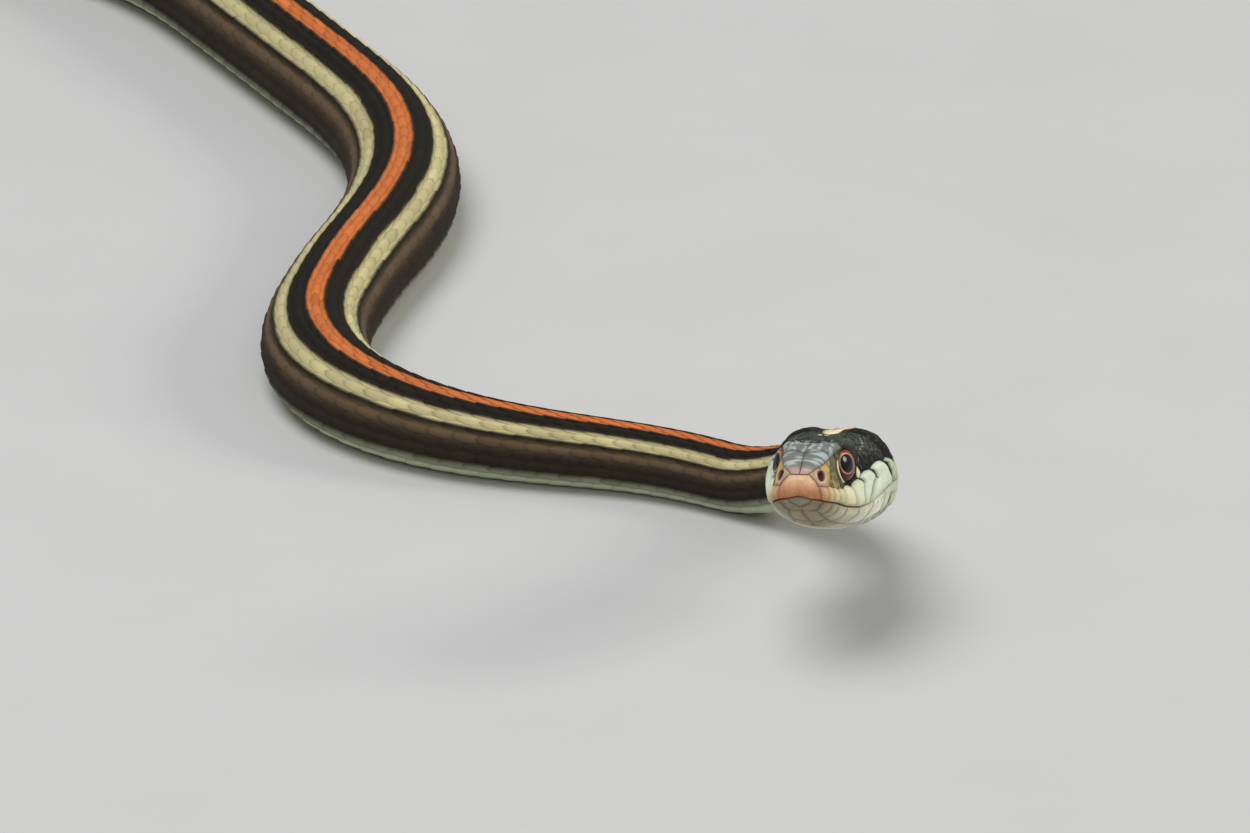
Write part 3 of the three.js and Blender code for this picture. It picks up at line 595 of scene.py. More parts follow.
def shields(place, side, height, crown_gap, mouth_gap):
    """Depth inside the nearest shield, its colour, its suture's colour and how far it bulges.

    crown_gap is the distance below the crown's edge and mouth_gap the height above the mouth
    line, both negative on the other side."""
    across = np.abs(side)
    depth = np.full(place.shape, -1.0)
    colour = np.tile(BLACK, place.shape + (1,))
    suture = np.tile(BLACK, place.shape + (1,))
    bulge = np.zeros(place.shape)
    paints = head_paints(place, side, height)

    def lay(amount, paint, line, puff):
        nonlocal depth, colour, suture, bulge
        amount = np.minimum(amount, -depth)
        better = amount > depth
        depth = np.where(better, amount, depth)
        colour = np.where(better[..., None], paint, colour)
        suture = np.where(better[..., None], line, suture)
        bulge = np.where(better, puff, bulge)

    def lay_below_mouth(amount, kind):
        lay(np.minimum(amount, -mouth_gap), paints["chin"], SUTURE_CHIN, BULGE[kind])

    rostral = np.minimum(polygon_depth(ROSTRAL_OUTLINE, side, height), ROSTRAL_REAR - place)
    lay(np.minimum(rostral, mouth_gap), paints["rostral"], SUTURE_NASAL, BULGE["rostral"])
    mental = polygon_depth(MENTAL_OUTLINE, side, height)
    lay_below_mouth(np.minimum(mental, MENTAL_REAR - place), "mental")
    black_top = ramp(height - lip_top(place), -0.22, 0.16) * ramp(place, 3, 1)
    # Painted shade darkens the upper lips towards the mouth line
    painted_lip_shade = painted(LIP_SHADE, 1, ramp(mouth_gap, 0, 1.2))
    for number, (outline, paint) in enumerate(UPPER_LIPS):
        line = painted(paint * blend(0.72, 0.4, ramp(number, 3, 3)), BLACK, black_top)
        lay(np.minimum(polygon_depth(outline, place, height), mouth_gap),
            paint * paints["lip"] * painted_lip_shade, line, BULGE["upper_lip"] + LIP_BULGE_GROWTH * number)
    for (high0, low0, end0), (high1, low1, end1) in zip(LOWER_LIPS, LOWER_LIPS[1:]):
        outline = [
            (high0, 1), (high0, mouth_level(high0)), (low0, end0), (low0 + 0.3, -4),
            (low1 + 0.3, -4), (low1, end1), (high1, mouth_level(high1)), (high1, 1),
        ]
        amount = polygon_depth(outline, place, height)
        lay_below_mouth(np.minimum(amount, across - lower_lip_end(place)), "lower_lip")
    for outline in CHIN_SHIELDS:
        lay_below_mouth(np.minimum(polygon_depth(outline, place, across), across), "chin")
    on_crown = np.minimum(-crown_gap, height - 1.5)
    for kind, outline in CROWN_SHIELDS:
        line = SUTURE_SNOUT if kind.startswith("snout") else BLACK
        amount = polygon_depth(outline, place, across)
        if min(point[1] for point in outline) == 0:
            amount = np.minimum(amount, across)
        lay(np.minimum(amount, on_crown), paints[kind], line, BULGE["crown"])
    oval = np.hypot((place - POSTOCULAR["x"]) / POSTOCULAR["long"],
                    (height - POSTOCULAR["height"]) / POSTOCULAR["tall"])
    lay((1 - oval) * POSTOCULAR["long"], EYE_SCALE, BLACK, BULGE["postocular"])
    for kind, outline in CHEEK_SHIELDS:
        line = SUTURE_NASAL if kind in ("nasal", "loreal") else BLACK
        amount = np.minimum(polygon_depth(outline, place, height), crown_gap)
        lay(amount, paints[kind], line, BULGE["cheek"])

    # The throat's small diamonds start behind the corners of the mouth, and lower down further on
    along, sideways = place / THROAT_SCALE_LONG + 0.3, across / THROAT_SCALE_WIDE
    one, other = (along + sideways) % 1 - 0.5, (along - sideways) % 1 - 0.5
    diamond = np.maximum(np.abs(one), np.abs(other))
    behind_lips = 0.9 * (1 - ramp(place, 12.8, 0.8))
    lay_below_mouth(np.minimum(0.6 * (0.5 - diamond), -mouth_gap - behind_lips), "throat")
    return depth, colour, suture, bulge


# Stripes, as angles round the section
BACK_STRIPE = math.radians(9)
SIDE_STRIPE = math.radians(41)
SIDE_STRIPE_HALF = math.radians(8.5)
DARK_LINE_END = math.radians(57)
FLANK_BAND_END = math.radians(66)
FLANK_END = math.radians(100)
BELLY_START = math.radians(118)
STRIPE_START = 13.2


def body_marking(place, angle):
    """Colour of the body's skin and scales at a place and an angle from the middle of the back."""
    turn = np.abs(angle)
    soft = math.radians(1.8)
    shape = np.broadcast_shapes(np.shape(place), np.shape(turn))
    place = np.broadcast_to(place, shape)
    colour = np.tile(GROUND, shape + (1,))

    def over(paint, amount):
        nonlocal colour
        colour = painted(colour, paint, amount)

    behind_head = ramp(place, 20, 6)
    over(LINE_UNDER_CREAM, ramp(turn, SIDE_STRIPE, math.radians(4)) * behind_head)
    over(FLANK_BAND, ramp(turn - DARK_LINE_END, -2 * soft, 4 * soft) * behind_head)
    over(FLANK, ramp(turn, FLANK_BAND_END, math.radians(10)) * behind_head)
    over(blend(FLANK, BELLY, 0.45), ramp(turn, FLANK_END, math.radians(14)))
    over(BELLY, ramp(turn, BELLY_START, math.radians(8)))
    throat = ramp(turn, math.radians(62), math.radians(8)) * (1 - ramp(place, 17, 16))
    over(THROAT, throat)
    side = 1 - ramp(np.abs(turn - SIDE_STRIPE) - SIDE_STRIPE_HALF, -soft, 2 * soft)
    over(CREAM, side * ramp(place, 18.5, 5))
    width = BACK_STRIPE * blend(0.85, 1, ramp(place, 15, 12))
    back = 1 - ramp(turn - width, -soft, 2 * soft)
    stripe = painted(NAPE_CREAM, ORANGE, ramp(place, 18, 14))
    over(stripe, back * ramp(place, STRIPE_START, 0.4))
    return colour


def eye_axes(hand):
    """Directions of the eye in the head's own axes: outward, backward and up."""
    outward = np.array([
        -math.sin(EYE["forward"]) * math.cos(EYE["upward"]),
        hand * math.cos(EYE["forward"]) * math.cos(EYE["upward"]), math.sin(EYE["upward"]),
    ])
    backward = np.array([math.cos(EYE["forward"]), hand * math.sin(EYE["forward"]), 0])
    return outward, backward, np.cross(backward, outward) * hand


# The pale crescent before each eye: its middle and half length as angles round the opening
CRESCENT_MIDDLE = math.radians(-25)
CRESCENT_HALF = math.radians(44)
CRESCENT_WIDTH = 0.34
CRESCENT_GAP = 0.09
SOCKET_SINK = 0.45


def set_eye_sockets(points, colour):
    """Sinks the skin behind each eyeball, draws it snugly round the opening and paints the rim."""
    for hand in (1, -1):
        outward, backward, upward = eye_axes(hand)
        offset = points - eye_centre(hand)
        out, back, up = offset @ outward, offset @ backward, offset @ upward
        radial = np.hypot(back, up)
        share = np.maximum(np.hypot(back / OPENING_LONG, up / OPENING_TALL), 0.01)
        beyond = (share - 1) * OPENING_LONG
        near = (out > -0.6) & (radial < 3)
        ball = EYE["depth"] * np.sqrt(np.clip(1 - (radial / EYE["radius"]) ** 2, 0, 1))
        rim_out = EYE["depth"] * np.sqrt(1 - (radial / share / EYE["radius"]) ** 2) + 0.05
        turn = (np.arctan2(up, -back) - CRESCENT_MIDDLE) / CRESCENT_HALF
        width = CRESCENT_WIDTH * np.sqrt(np.clip(1 - turn**2, 0, 1))
        crescent = np.minimum(beyond - CRESCENT_GAP, CRESCENT_GAP + width - beyond)
        drawn = blend(rim_out, out, ramp(beyond, 0, 0.75))
        drawn += 0.06 * hump(beyond - 0.12, 0.1) + 0.06 * ramp(crescent, 0, 0.12)
        wanted = blend(ball - SOCKET_SINK, drawn, ramp(beyond, -0.1, 0.12))
        points = np.where(near[..., None], points + (wanted - out)[..., None] * outward, points)
        rim = near * (1 - ramp(beyond, 0.05, 0.12)) * 0.95
        colour = painted(colour, BLACK, rim)
        colour = painted(colour, EYE_SCALE, near * smooth(crescent / 0.07 + 0.3))
    return points, colour


# The skin's mesh: columns of points round it, and the head's rings, closest together at the snout
HEAD_COLUMNS = 384
BODY_COLUMNS = 96
SNOUT_END, SNOUT_RINGS = 2.0, 81
HEAD_END, HEAD_RINGS = 17.6, 236
BODY_START = HEAD_END + 0.3
BODY_RING_STEP = 1.0
NOSE_RINGS = [0.04, 0.16, 0.28, 0.4, 0.52, 0.64, 0.76, 0.88]
NOSE_DOME = 0.07
# How far the skin lies under the scales, and how much painted shade darkens it there
SCALE_ROOM = 0.13
SHADE_UNDER_SCALES = 0.6


def scale_room(place):
    """How far the skin lies under the surface where scales cover it."""
    return SCALE_ROOM * np.clip(half_width(place) / MID_BODY_HALF, 0.12, 1)


def below_crown(places, side, height):
    """Distance round each ring from the crown's edge, negative on the crown."""
    half = HEAD_COLUMNS // 2 + 1
    gap = np.zeros_like(side)
    for k, value in enumerate(places):
        step = np.hypot(np.diff(side[k, :half]), np.diff(height[k, :half]))
        around = np.concatenate([[0], np.cumsum(step)])
        upper = int(np.argmax(side[k, :half])) + 1
        edge = min(float(crown_edge(value)), float(side[k, :half].max()) * 0.98)
        gap[k, :half] = around - np.interp(edge, side[k, :upper], around[:upper])
        gap[k, half:] = gap[k, half - 2:0:-1]
    return gap


def head_grid():
    """Rings of the head from the tip of the snout.

    Returns the head's own coordinates, the points laid out, the directions out of the surface, the
    angles round the section and the distances below the crown's edge."""
    snout = SNOUT_END * np.linspace(0, 1, SNOUT_RINGS) ** 1.6
    places = np.concatenate([snout, np.linspace(SNOUT_END, HEAD_END, HEAD_RINGS)[1:]])
    angles = np.linspace(0, 2 * math.pi, HEAD_COLUMNS + 1)[:-1]
    place, angle = np.meshgrid(places, angles, indexing="ij")
    x, side, height = section_point(place, angle)
    here, out = surface_and_normal(place, angle)
    gap = below_crown(places, side, height)

    # The nose is closed by rings that shrink to the middle of the front
    share = np.array(NOSE_RINGS)[:, None]
    nose_side = side[:1] * share
    nose_height = height[:1].mean() + (height[:1] - height[:1].mean()) * share
    nose_x = x[:1] * share - NOSE_DOME * (1 - share**2)
    nose_out = blend(-PATH[2][0], out[:1], 0.5 * share[..., None] ** 2)
    nose = [nose_x, nose_side, nose_height]
    angle = signed(angle)
    repeats = [np.repeat(rows[:1], len(NOSE_RINGS), 0) for rows in (angle, gap)]
    nose += [lay_out(*nose), nose_out] + repeats
    rings = [x, side, height, here, out, angle, gap]
    return [np.concatenate(pair) for pair in zip(nose, rings)]


def nostril_shape(x, side, height):
    """Share of the way into the nostril, from 0 at its rim to 1, and the crease above it."""
    up = height - NOSTRIL["height"]
    middle = NOSTRIL["x"] + NOSTRIL["lean"] * up
    inside = 1 - np.hypot((x - middle) / NOSTRIL["long"], up / NOSTRIL["tall"])
    crease = hump(x - middle, 0.06) * ramp(up, 0.4, 0.2) * (1 - ramp(up, 0.85, 0.2))
    on_side = np.abs(side) > 0.8
    return np.where(on_side, inside, -1), crease * on_side


def stroke(points, half, across, up):
    """Distance from a line through points, as a share of a width that tapers at both ends."""
    nearest = np.full(across.shape, 9.0)
    for k, (start, end) in enumerate(zip(points, points[1:])):
        distance, t = line_distance(start, end, across, up)
        share = np.clip((k + t) / (len(points) - 1), 0, 1)
        width = 0.03 + half * np.sin(math.pi * share) ** 0.5
        nearest = np.minimum(nearest, distance / width)
    return nearest


def glints(x, side, height):
    """Painted highlights: pale glints along the front of the crown and behind the eyes, in broken
    flecks.
    """
    across = np.abs(side)
    border = 5.22 + 0.1 * np.sin(side * 9) + 0.8 * ramp(across, 1.3, 0.7)
    chain = hump(x - border, 0.14) * ramp(height, 3, 0.5) * (1 - ramp(across, 2, 0.3))
    edge = hump(across - crown_edge(x), 0.07) * ramp(x, 9, 0.5) * (1 - ramp(x, 13, 1))
    behind = hump(x - 8.66 - 0.8 * ramp(height, 2.7, 1) * (height - 2.7), 0.08)
    behind *= ramp(height, 2.2, 0.2) * (1 - ramp(height, 3.9, 0.4))
    flecks = ramp(patchy(np.stack([x, side, height], -1), 0.26, 9), 0.4, 0.2)
    strength = np.maximum(np.maximum(chain, 0.8 * edge * (height > 3)), 0.6 * behind)
    return strength * flecks


def head_skin():
    """Points and colours of the head's part of the skin, ring by ring from the snout."""
    x, side, height, here, out, angle, crown_gap = head_grid()
    spot = np.stack([x, side, height], -1)
    mouth_gap = height - mouth_height(x, side)
    depth, paint, line, bulge = shields(x, side, height, crown_gap, mouth_gap)

    # Shields, with grooves between them, and bare skin under the scales behind them
    bare = ramp(x, 12.6, 0.6) * ramp(-depth, -0.02, 0.15)
    groove = smooth(depth / SUTURE_HALF)
    # Painted shade and light for each shield's bulge: darker towards its edges, a little lighter
    # in its middle
    colour = painted(line, paint, groove) * blend(0.78, 1.06, ramp(depth, 0, 0.42))[..., None]
    gaps = ramp(-depth, 0.01, 0.05) * ramp(height, 0.5, 0.2) * ramp(x, 3.2, 0.5)
    colour = painted(colour, BLACK, gaps)
    raised = bulge * ramp(depth, 0, 0.45) - GROOVE_DEPTH * (1 - groove)
    raised -= bare * (scale_room(x) - 0.09)
    throat = ramp(-mouth_gap, 0, 0.3) * ramp(x, 13, 1.2)
    raised -= 1.2 * scale_room(x) * throat * (1 - bare)
    leather = patchy(spot, 0.18, 5) - 0.5
    raised += 0.03 * leather * ramp(height, 2.5, 1) * (1 - bare)
    # Bare skin under the head's rear scales is darkened by painted shade
    shaded = blend(0.92, SHADE_UNDER_SCALES, ramp(x, 15, 2) * ramp(mouth_gap, 0, 0.5))
    colour = painted(colour, body_marking(x, angle) * shaded[..., None], bare)

    # The pair of pale spots on the crown, the painted glints along its edges, and the black gaps
    # between the lips
    spots = np.hypot((x - 10.3) / 0.55, (np.abs(side) - 0.3) / 0.2)
    colour = painted(colour, EYE_SCALE, smooth((1.2 - spots) / 0.45) * (height > 2))
    colour = painted(colour, GLINT, 0.6 * glints(x, side, height))
    for half, gap in LIP_GAPS:
        dark = 1 - ramp(stroke(gap, half, x, height), 0.7, 0.4)
        colour = painted(colour, BLACK, dark)
        raised -= 0.1 * dark

    nostril, nostril_crease = nostril_shape(x, side, height)
    raised += 0.07 * hump(nostril + 0.3, 0.25) - NOSTRIL_DEPTH * ramp(nostril, 0, 0.5)
    raised -= 0.08 * nostril_crease
    colour = painted(colour, NOSTRIL_DARK, ramp(nostril, -0.05, 0.3))
    colour = painted(colour, SUTURE_SNOUT, 0.7 * nostril_crease)

    mottle = ramp(patchy(spot, 0.3, 6), 0.6, 0.15)
    mottle *= (hump(x - 10.8, 1.6) * hump(mouth_gap + 0.6, 0.5)
               + 0.6 * hump(x - 14.2, 0.9) * hump(mouth_gap - 0.6, 1.2))
    colour = painted(colour, SUTURE_LIP * 0.7, 0.7 * mottle)
    crease = hump(mouth_gap, 0.075) * (1 - ramp(x, MOUTH_CORNER, 0.4))
    raised -= MOUTH_DEPTH * crease
    lips = painted(MOUTH_RED, SUTURE_LIP * 0.6, ramp(x, 8.5, 1.5))
    colour = painted(colour, lips, 0.9 * smooth(crease * 1.2))

    # Only the points that the sockets move are laid out again, because the neck is already curved
    points = here + out * raised[..., None]
    local = to_head_axes(points)
    socketed, colour = set_eye_sockets(local, colour)
    moved = (socketed != local).any(-1, keepdims=True)
    return np.where(moved, from_head_axes(socketed), points), colour


def to_head_axes(points):
    """Layout coordinates of the head, back in its own axes."""
    origins, backs, rights, ups = PATH[1:]
    offset = points - (origins[0] - backs[0] * PATH_START)
    return np.stack([offset @ backs[0], offset @ rights[0], offset @ ups[0]], -1)


def from_head_axes(points):
    return lay_out(points[..., 0], points[..., 1], points[..., 2])


def build_skin(material):
    head, head_colour = head_skin()
    places = np.linspace(BODY_START, TAIL_TIP, int((TAIL_TIP - BODY_START) / BODY_RING_STEP))
    angles = np.linspace(0, 2 * math.pi, BODY_COLUMNS + 1)[:-1]
    place, angle = np.meshgrid(places, angles, indexing="ij")
    here, out = surface_and_normal(place, angle)
    body = above_floor(here - out * scale_room(place)[..., None], 0.01)
    # The body's skin under the scales is darkened by painted shade
    body_colour = body_marking(place, signed(angle)) * SHADE_UNDER_SCALES

    # The body's rings are coarser, and a row of six-sided faces joins the two
    base = len(head) * HEAD_COLUMNS
    share = HEAD_COLUMNS // BODY_COLUMNS
    coarse = np.arange(BODY_COLUMNS)
    fine = [base - HEAD_COLUMNS + (coarse * share + k) % HEAD_COLUMNS for k in range(share + 1)]
    seam = [fine[0], base + coarse, base + (coarse + 1) % BODY_COLUMNS] + fine[:0:-1]
    faces = [
        grid_faces(len(head), HEAD_COLUMNS, True),
        base + grid_faces(len(places), BODY_COLUMNS, True),
        np.stack(seam, -1),
        np.arange(HEAD_COLUMNS)[None, :],
        base + (len(places) - 1) * BODY_COLUMNS + coarse[None, ::-1],
    ]
    points = np.concatenate([head.reshape(-1, 3), body.reshape(-1, 3)])
    colours = np.concatenate([head_colour.reshape(-1, 3), body_colour.reshape(-1, 3)])
    return make_piece("skin", points, faces, material, colours)


# Scales. Rows run along the body, and each keeps its share of the way round from the middle of the
# back to the belly plates. The steps between rows grow downwards, and are given for a way round of
# ROW_REACH.
DORSAL_ANGLE = math.radians(118)
ROW_REACH = 11.5
ROW_STEP = 0.957
ROW_GROWTH = 0.0264
# Where each row begins behind the head's shields, from the middle of the back down
ROW_STARTS = [12.9, 13.2, 13.6, 13.9, 13.6, 14.6, 15, 14.9, 14.6, 14.4]
SCALES_START, SCALES_END = 12.8, TAIL_TIP - 1.5
SCALE_ALONG = np.array([0.0, 0.18, 0.36, 0.54, 0.7, 0.84, 0.94, 1.0])[:, None]
SCALE_ACROSS = np.linspace(-1, 1, 7)
SCALE_WIDEST = 0.42
SCALE_OVERLAP = 1.62
# The scales of the nape have one thickness, as a share of that at mid-body
NAPE_END, NAPE_SIZE = 20, 0.75
# At mid-body: heights of a scale's front and rear, of its middle and keel above that, and its rim
SCALE_LIFT = -0.15, 0.045
SCALE_CROWN = 0.055
KEEL_HEIGHT = 0.075
SCALE_RIM = 0.11
# How much scales differ from each other, and how dark their sides and undersides are
STRIPE_JITTER = math.radians(0.4)
SCALE_TONE, PLATE_TONE = 0.07, 0.03
SKIRT_SHADE, UNDERSIDE_SHADE = 0.45, 0.5
# Half width of a scale as a share of the way between rows
SCALE_HALF = 0.62
# The thinning tail loses rows: over TAIL_FADE behind the vent that comes to depend on the way
# round as a share of VENT_REACH, to the power TAIL_CROWDING
TAIL_FADE = 60
VENT_REACH, TAIL_CROWDING = 8.5, 0.45

PLATES_START, PLATES_END = 15.2, TAIL_TIP - 2.5
PLATE_ALONG = np.array([0.0, 0.3, 0.6, 0.85, 1.0])[:, None]
PLATE_ACROSS = np.linspace(-1, 1, 33)
PLATE_OVERLAP = 1.3
PLATE_LIFT = -0.13, 0.0
PLATE_RIM = 0.09
PLATE_REACH = math.pi - DORSAL_ANGLE + math.radians(5)
# Size of a scale's own patch of the bake layout
BAKE_PATCH = 0.003


def section_table(place):
    """Angles round one section from the back to the belly, and the way round to each."""
    angles = np.linspace(0, math.pi, 361)
    side, height = section_point(place, angles)[1:]
    step = np.hypot(np.diff(side), np.diff(height))
    return angles, np.concatenate([[0], np.cumsum(step)])


def arc_radius(place, angle):
    """Distance round the surface for each radian of angle."""
    step = 0.01
    one = np.stack(section_point(place, angle + step)[1:], -1)
    other = np.stack(section_point(place, angle - step)[1:], -1)
    return np.maximum(np.linalg.norm(one - other, axis=-1) / (2 * step), 0.05)


def pitch(place):
    """Distance between one scale and the next along a row."""
    return 0.8 + 0.34 * half_width(place) - 0.9 * smooth((19 - place) / 6)


def pitch_steps(start, end, share):
    """Places along the body, each a share of the pitch behind the one before it."""
    places = [start]
    while places[-1] < end:
        places.append(places[-1] + share * float(pitch(places[-1])))
    return np.array(places)


def relative_size(place):
    """Thickness of a scale or plate, as a share of the thickness at mid-body."""
    return np.clip(half_width(place) / MID_BODY_HALF, 0.14, 1.1)


def scale_outline(along):
    """Half width of a scale at a share of its length, as a share of its greatest half width."""
    rear = np.clip((along - SCALE_WIDEST) / (1 - SCALE_WIDEST), 0, 1)
    front = smooth(along / SCALE_WIDEST)
    return np.where(along > SCALE_WIDEST, 0.1 + 0.9 * (1 - rear**2.2) ** 0.6, 0.62 + 0.38 * front)


def repeated(faces, count, step):
    """The faces of one scale, for each of many whose points follow each other."""
    return (faces + (np.arange(count) * step)[:, None, None]).reshape(-1, faces.shape[1])


def bake_patches(root, along, across, extra):
    """Bake layout of many scales: each is small, at its root, and extra points repeat others."""
    local = np.stack(np.broadcast_arrays(along - 0.5, across / 2), -1).reshape(-1, 2)
    local = np.concatenate([local, local[extra]])
    return np.clip(np.stack(root, -1).reshape(-1, 1, 2) + BAKE_PATCH * local, 0, 1)


def scale_shape(place, angle, half, row):
    """Many scales at once, in arrays over scale, along and across.

    Returns the places and angles of their points, and their upper and under surfaces."""
    along, across = SCALE_ALONG, SCALE_ACROSS
    size = np.where(place < NAPE_END, NAPE_SIZE, relative_size(place))
    keel = np.where(row < len(ROW_STARTS) - 1, 1.0, 0.25) * ramp(place, 14, 8)
    spread = across * scale_outline(along)
    spots = np.minimum(place + (along - SCALE_WIDEST) * pitch(place) * SCALE_OVERLAP, TAIL_TIP)
    turn = angle + spread * half / arc_radius(place, angle)
    ridge = hump(spread * half, 0.1 * size) * ramp(along, 0, 0.25)
    ridge = ridge * (1 - 0.6 * ramp(along, 0.8, 0.2))
    lift = blend(*SCALE_LIFT, along**0.9) + SCALE_CROWN * (1 - across**2)
    here, out = surface_and_normal(spots, turn)
    face = here + out * (size * (lift + KEEL_HEIGHT * keel * ridge))[..., None]
    middle = face.mean((1, 2), keepdims=True)
    below = blend(face - out * (SCALE_RIM * size)[..., None], middle, 0.05)
    return spots, turn, above_floor(face), above_floor(below)


def scale_colours(spots, turn, face):
    """Colours of the points of many scales, each with a tone of its own and darker at its edge."""
    each = (len(turn), 1, 1)
    jitter = random.normal(0, STRIPE_JITTER, each)
    colour = body_marking(spots, turn + jitter * np.sign(turn))
    nape = 0.55 * ramp(patchy(face, 0.2, 13), 0.5, 0.2) * (1 - ramp(spots, 17, 9))
    colour = painted(colour, CROWN_LIGHT, nape * (colour.mean(-1) < 0.06))
    edge = np.maximum(np.abs(SCALE_ACROSS) ** 3, ramp(SCALE_ALONG, 0.8, 0.2))
    tone = random.normal(1, SCALE_TONE, each) * (1 - 0.28 * edge)
    return np.clip(colour * tone[..., None], 0, 1)


def build_scales(name, rows, material):
    """Joined scales of one stretch, from their places, angles, half widths and rows."""
    place, angle, half, row = rows[..., None, None]
    spots, turn, face, below = scale_shape(place, angle, half, row)
    colour = scale_colours(spots, turn, face)

    # A skirt closes the sides of each scale
    count, rows_in, columns = turn.shape
    index = np.arange(rows_in * columns).reshape(rows_in, columns)
    border = np.concatenate([index[:, 0], index[-1, 1:], index[-2::-1, -1], index[0, -2:0:-1]])
    face, below, colour = [array.reshape(count, -1, 3) for array in (face, below, colour)]
    points = np.concatenate([face, face[:, border], below[:, border]], 1)
    skirt_colour = colour[:, border] * SKIRT_SHADE
    colours = np.concatenate([colour, skirt_colour, skirt_colour * UNDERSIDE_SHADE], 1)
    upper = rows_in * columns + np.arange(len(border))
    lower = upper + len(border)
    skirt = np.stack([lower, np.roll(lower, -1), np.roll(upper, -1), upper], -1)
    quads = np.concatenate([grid_faces(rows_in, columns, False), skirt])
    faces = [repeated(quads, count, points.shape[1])]
    root = [place / TAIL_TIP, angle / (2 * math.pi) + 0.5]
    uv = bake_patches(root, SCALE_ALONG, SCALE_ACROSS, np.tile(border, 2))
    return make_piece(name, points, faces, material, colours, uv)


def dorsal_rows(start, end):
    """Scales of the back and flanks between two places: place, angle, half width and row."""
    result = []
    for k, place in enumerate(pitch_steps(SCALES_START, SCALES_END, 0.5)):
        if not start <= place < end:
            continue
        angles, lengths = section_table(place)
        edge = np.interp(DORSAL_ANGLE, angles, lengths)
        crowded = (max(edge, 0.4) / VENT_REACH) ** TAIL_CROWDING
        reach = ROW_REACH * float(blend(1.0, crowded, ramp(place, VENT, TAIL_FADE)))
        for row, row_start in enumerate(ROW_STARTS):
            share = (ROW_STEP * row + ROW_GROWTH * row**2) / reach
            if (k + row) % 2 or share > 1 or place < row_start:
                continue
            turn = float(np.interp(share * edge, lengths, angles))
            half = SCALE_HALF * (ROW_STEP + 2 * ROW_GROWTH * row) * edge / reach
            for hand in (1, -1) if row else (1,):
                result.append((place, turn * hand, half, row))
    return np.array(result).T


def scale_stretches(material):
    """The scales of the back and flanks, in pieces of a size that can be handled."""
    names = ["neck", "torso_front", "torso_1", "torso_2", "torso_3", "torso_4", "tail_1", "tail_2"]
    cuts = [12, 70, 130, 200, 280, 370, VENT, 550, TAIL_TIP]
    return [build_scales(f"scales_{name}", dorsal_rows(start, end), material)
            for name, start, end in zip(names, cuts, cuts[1:])]


def belly_plates(material):
    """The broad plates of the belly, each lapping over the next, and those of the tail."""
    place = pitch_steps(PLATES_START, PLATES_END, 1)[:, None, None]
    along, across = PLATE_ALONG, PLATE_ACROSS
    rounding = 1 - 0.35 * np.abs(across) ** 6
    spots = place + (along - 0.5) * pitch(place) * PLATE_OVERLAP * rounding
    spots = np.minimum(spots, TAIL_TIP)
    turn = math.pi + across * PLATE_REACH * blend(0.45, 1, ramp(place, 15, 4))
    size = relative_size(place)[..., None]
    here, out = surface_and_normal(spots, turn)
    height = (blend(*PLATE_LIFT, along) - 0.05 * np.abs(across) ** 8)[..., None] * size
    face = above_floor(here + out * height)
    below = above_floor(here + out * (height - PLATE_RIM * size))
    tone = random.normal(1, PLATE_TONE, place.shape) * (1 - 0.12 * ramp(along, 0.75, 0.25))
    colour = body_marking(spots, signed(turn)) * tone[..., None]

    # Each plate's rear edge is closed by a strip of its own
    count, rows_in, columns = spots.shape
    points = np.concatenate([face, face[:, -1:], below[:, -1:]], 1).reshape(count, -1, 3)
    colours = np.concatenate([colour, colour[:, -1:], colour[:, -1:] * UNDERSIDE_SHADE], 1)
    strip = rows_in * columns + grid_faces(2, columns, False)
    quads = np.concatenate([grid_faces(rows_in, columns, False), strip])
    faces = [repeated(quads, count, points.shape[1])]
    root = [place / TAIL_TIP, np.full(place.shape, 0.999)]
    uv = bake_patches(root, along, across, np.arange(-2 * columns, 0))
    return make_piece("belly_plates", points, faces, material, colours, uv)


# The eyes
PUPIL_BLACK = srgb(5, 5, 7)
PUPIL_EDGE = srgb(52, 14, 10)
RING_PINK = srgb(236, 184, 148)
IRIS_TOP = srgb(150, 68, 32)
IRIS_LOW = srgb(84, 34, 18)
# Painted reflection: the pale gleam on the upper front of the iris
IRIS_REFLECTION = srgb(232, 186, 160)
IRIS_EDGE = srgb(40, 16, 10)
# The eyeballs' meshes, with a small flat face round each pole
EYE_RINGS, EYE_COLUMNS = 120, 128
EYE_POLE = 0.004


def iris_colour(up, turn, reach):
    """Colours of the eye's dome: reach is the distance from the pupil's edge."""
    streak = 0.5 + 0.5 * np.sin(turn * 37 + 3 * np.sin(turn * 11))
    iris = painted(IRIS_LOW, IRIS_TOP, ramp(up, -0.3, 1.3))
    iris = iris * (0.8 + 0.4 * streak)[..., None]
    # A pale patch towards the upper front of the iris is a painted reflection
    facing = np.cos(turn - math.radians(32))
    pale = ramp(facing, 0.6, 0.3) * (1 - ramp(reach, 0.3, 0.14))
    iris = painted(iris, IRIS_REFLECTION, 0.75 * pale)
    colour = painted(PUPIL_EDGE, iris, ramp(reach, 0.03, 0.05))
    colour = painted(colour, RING_PINK, hump(reach - 0.12, 0.048) * (0.75 + 0.25 * facing))
    return painted(PUPIL_BLACK, colour, ramp(reach, -0.01, 0.04))


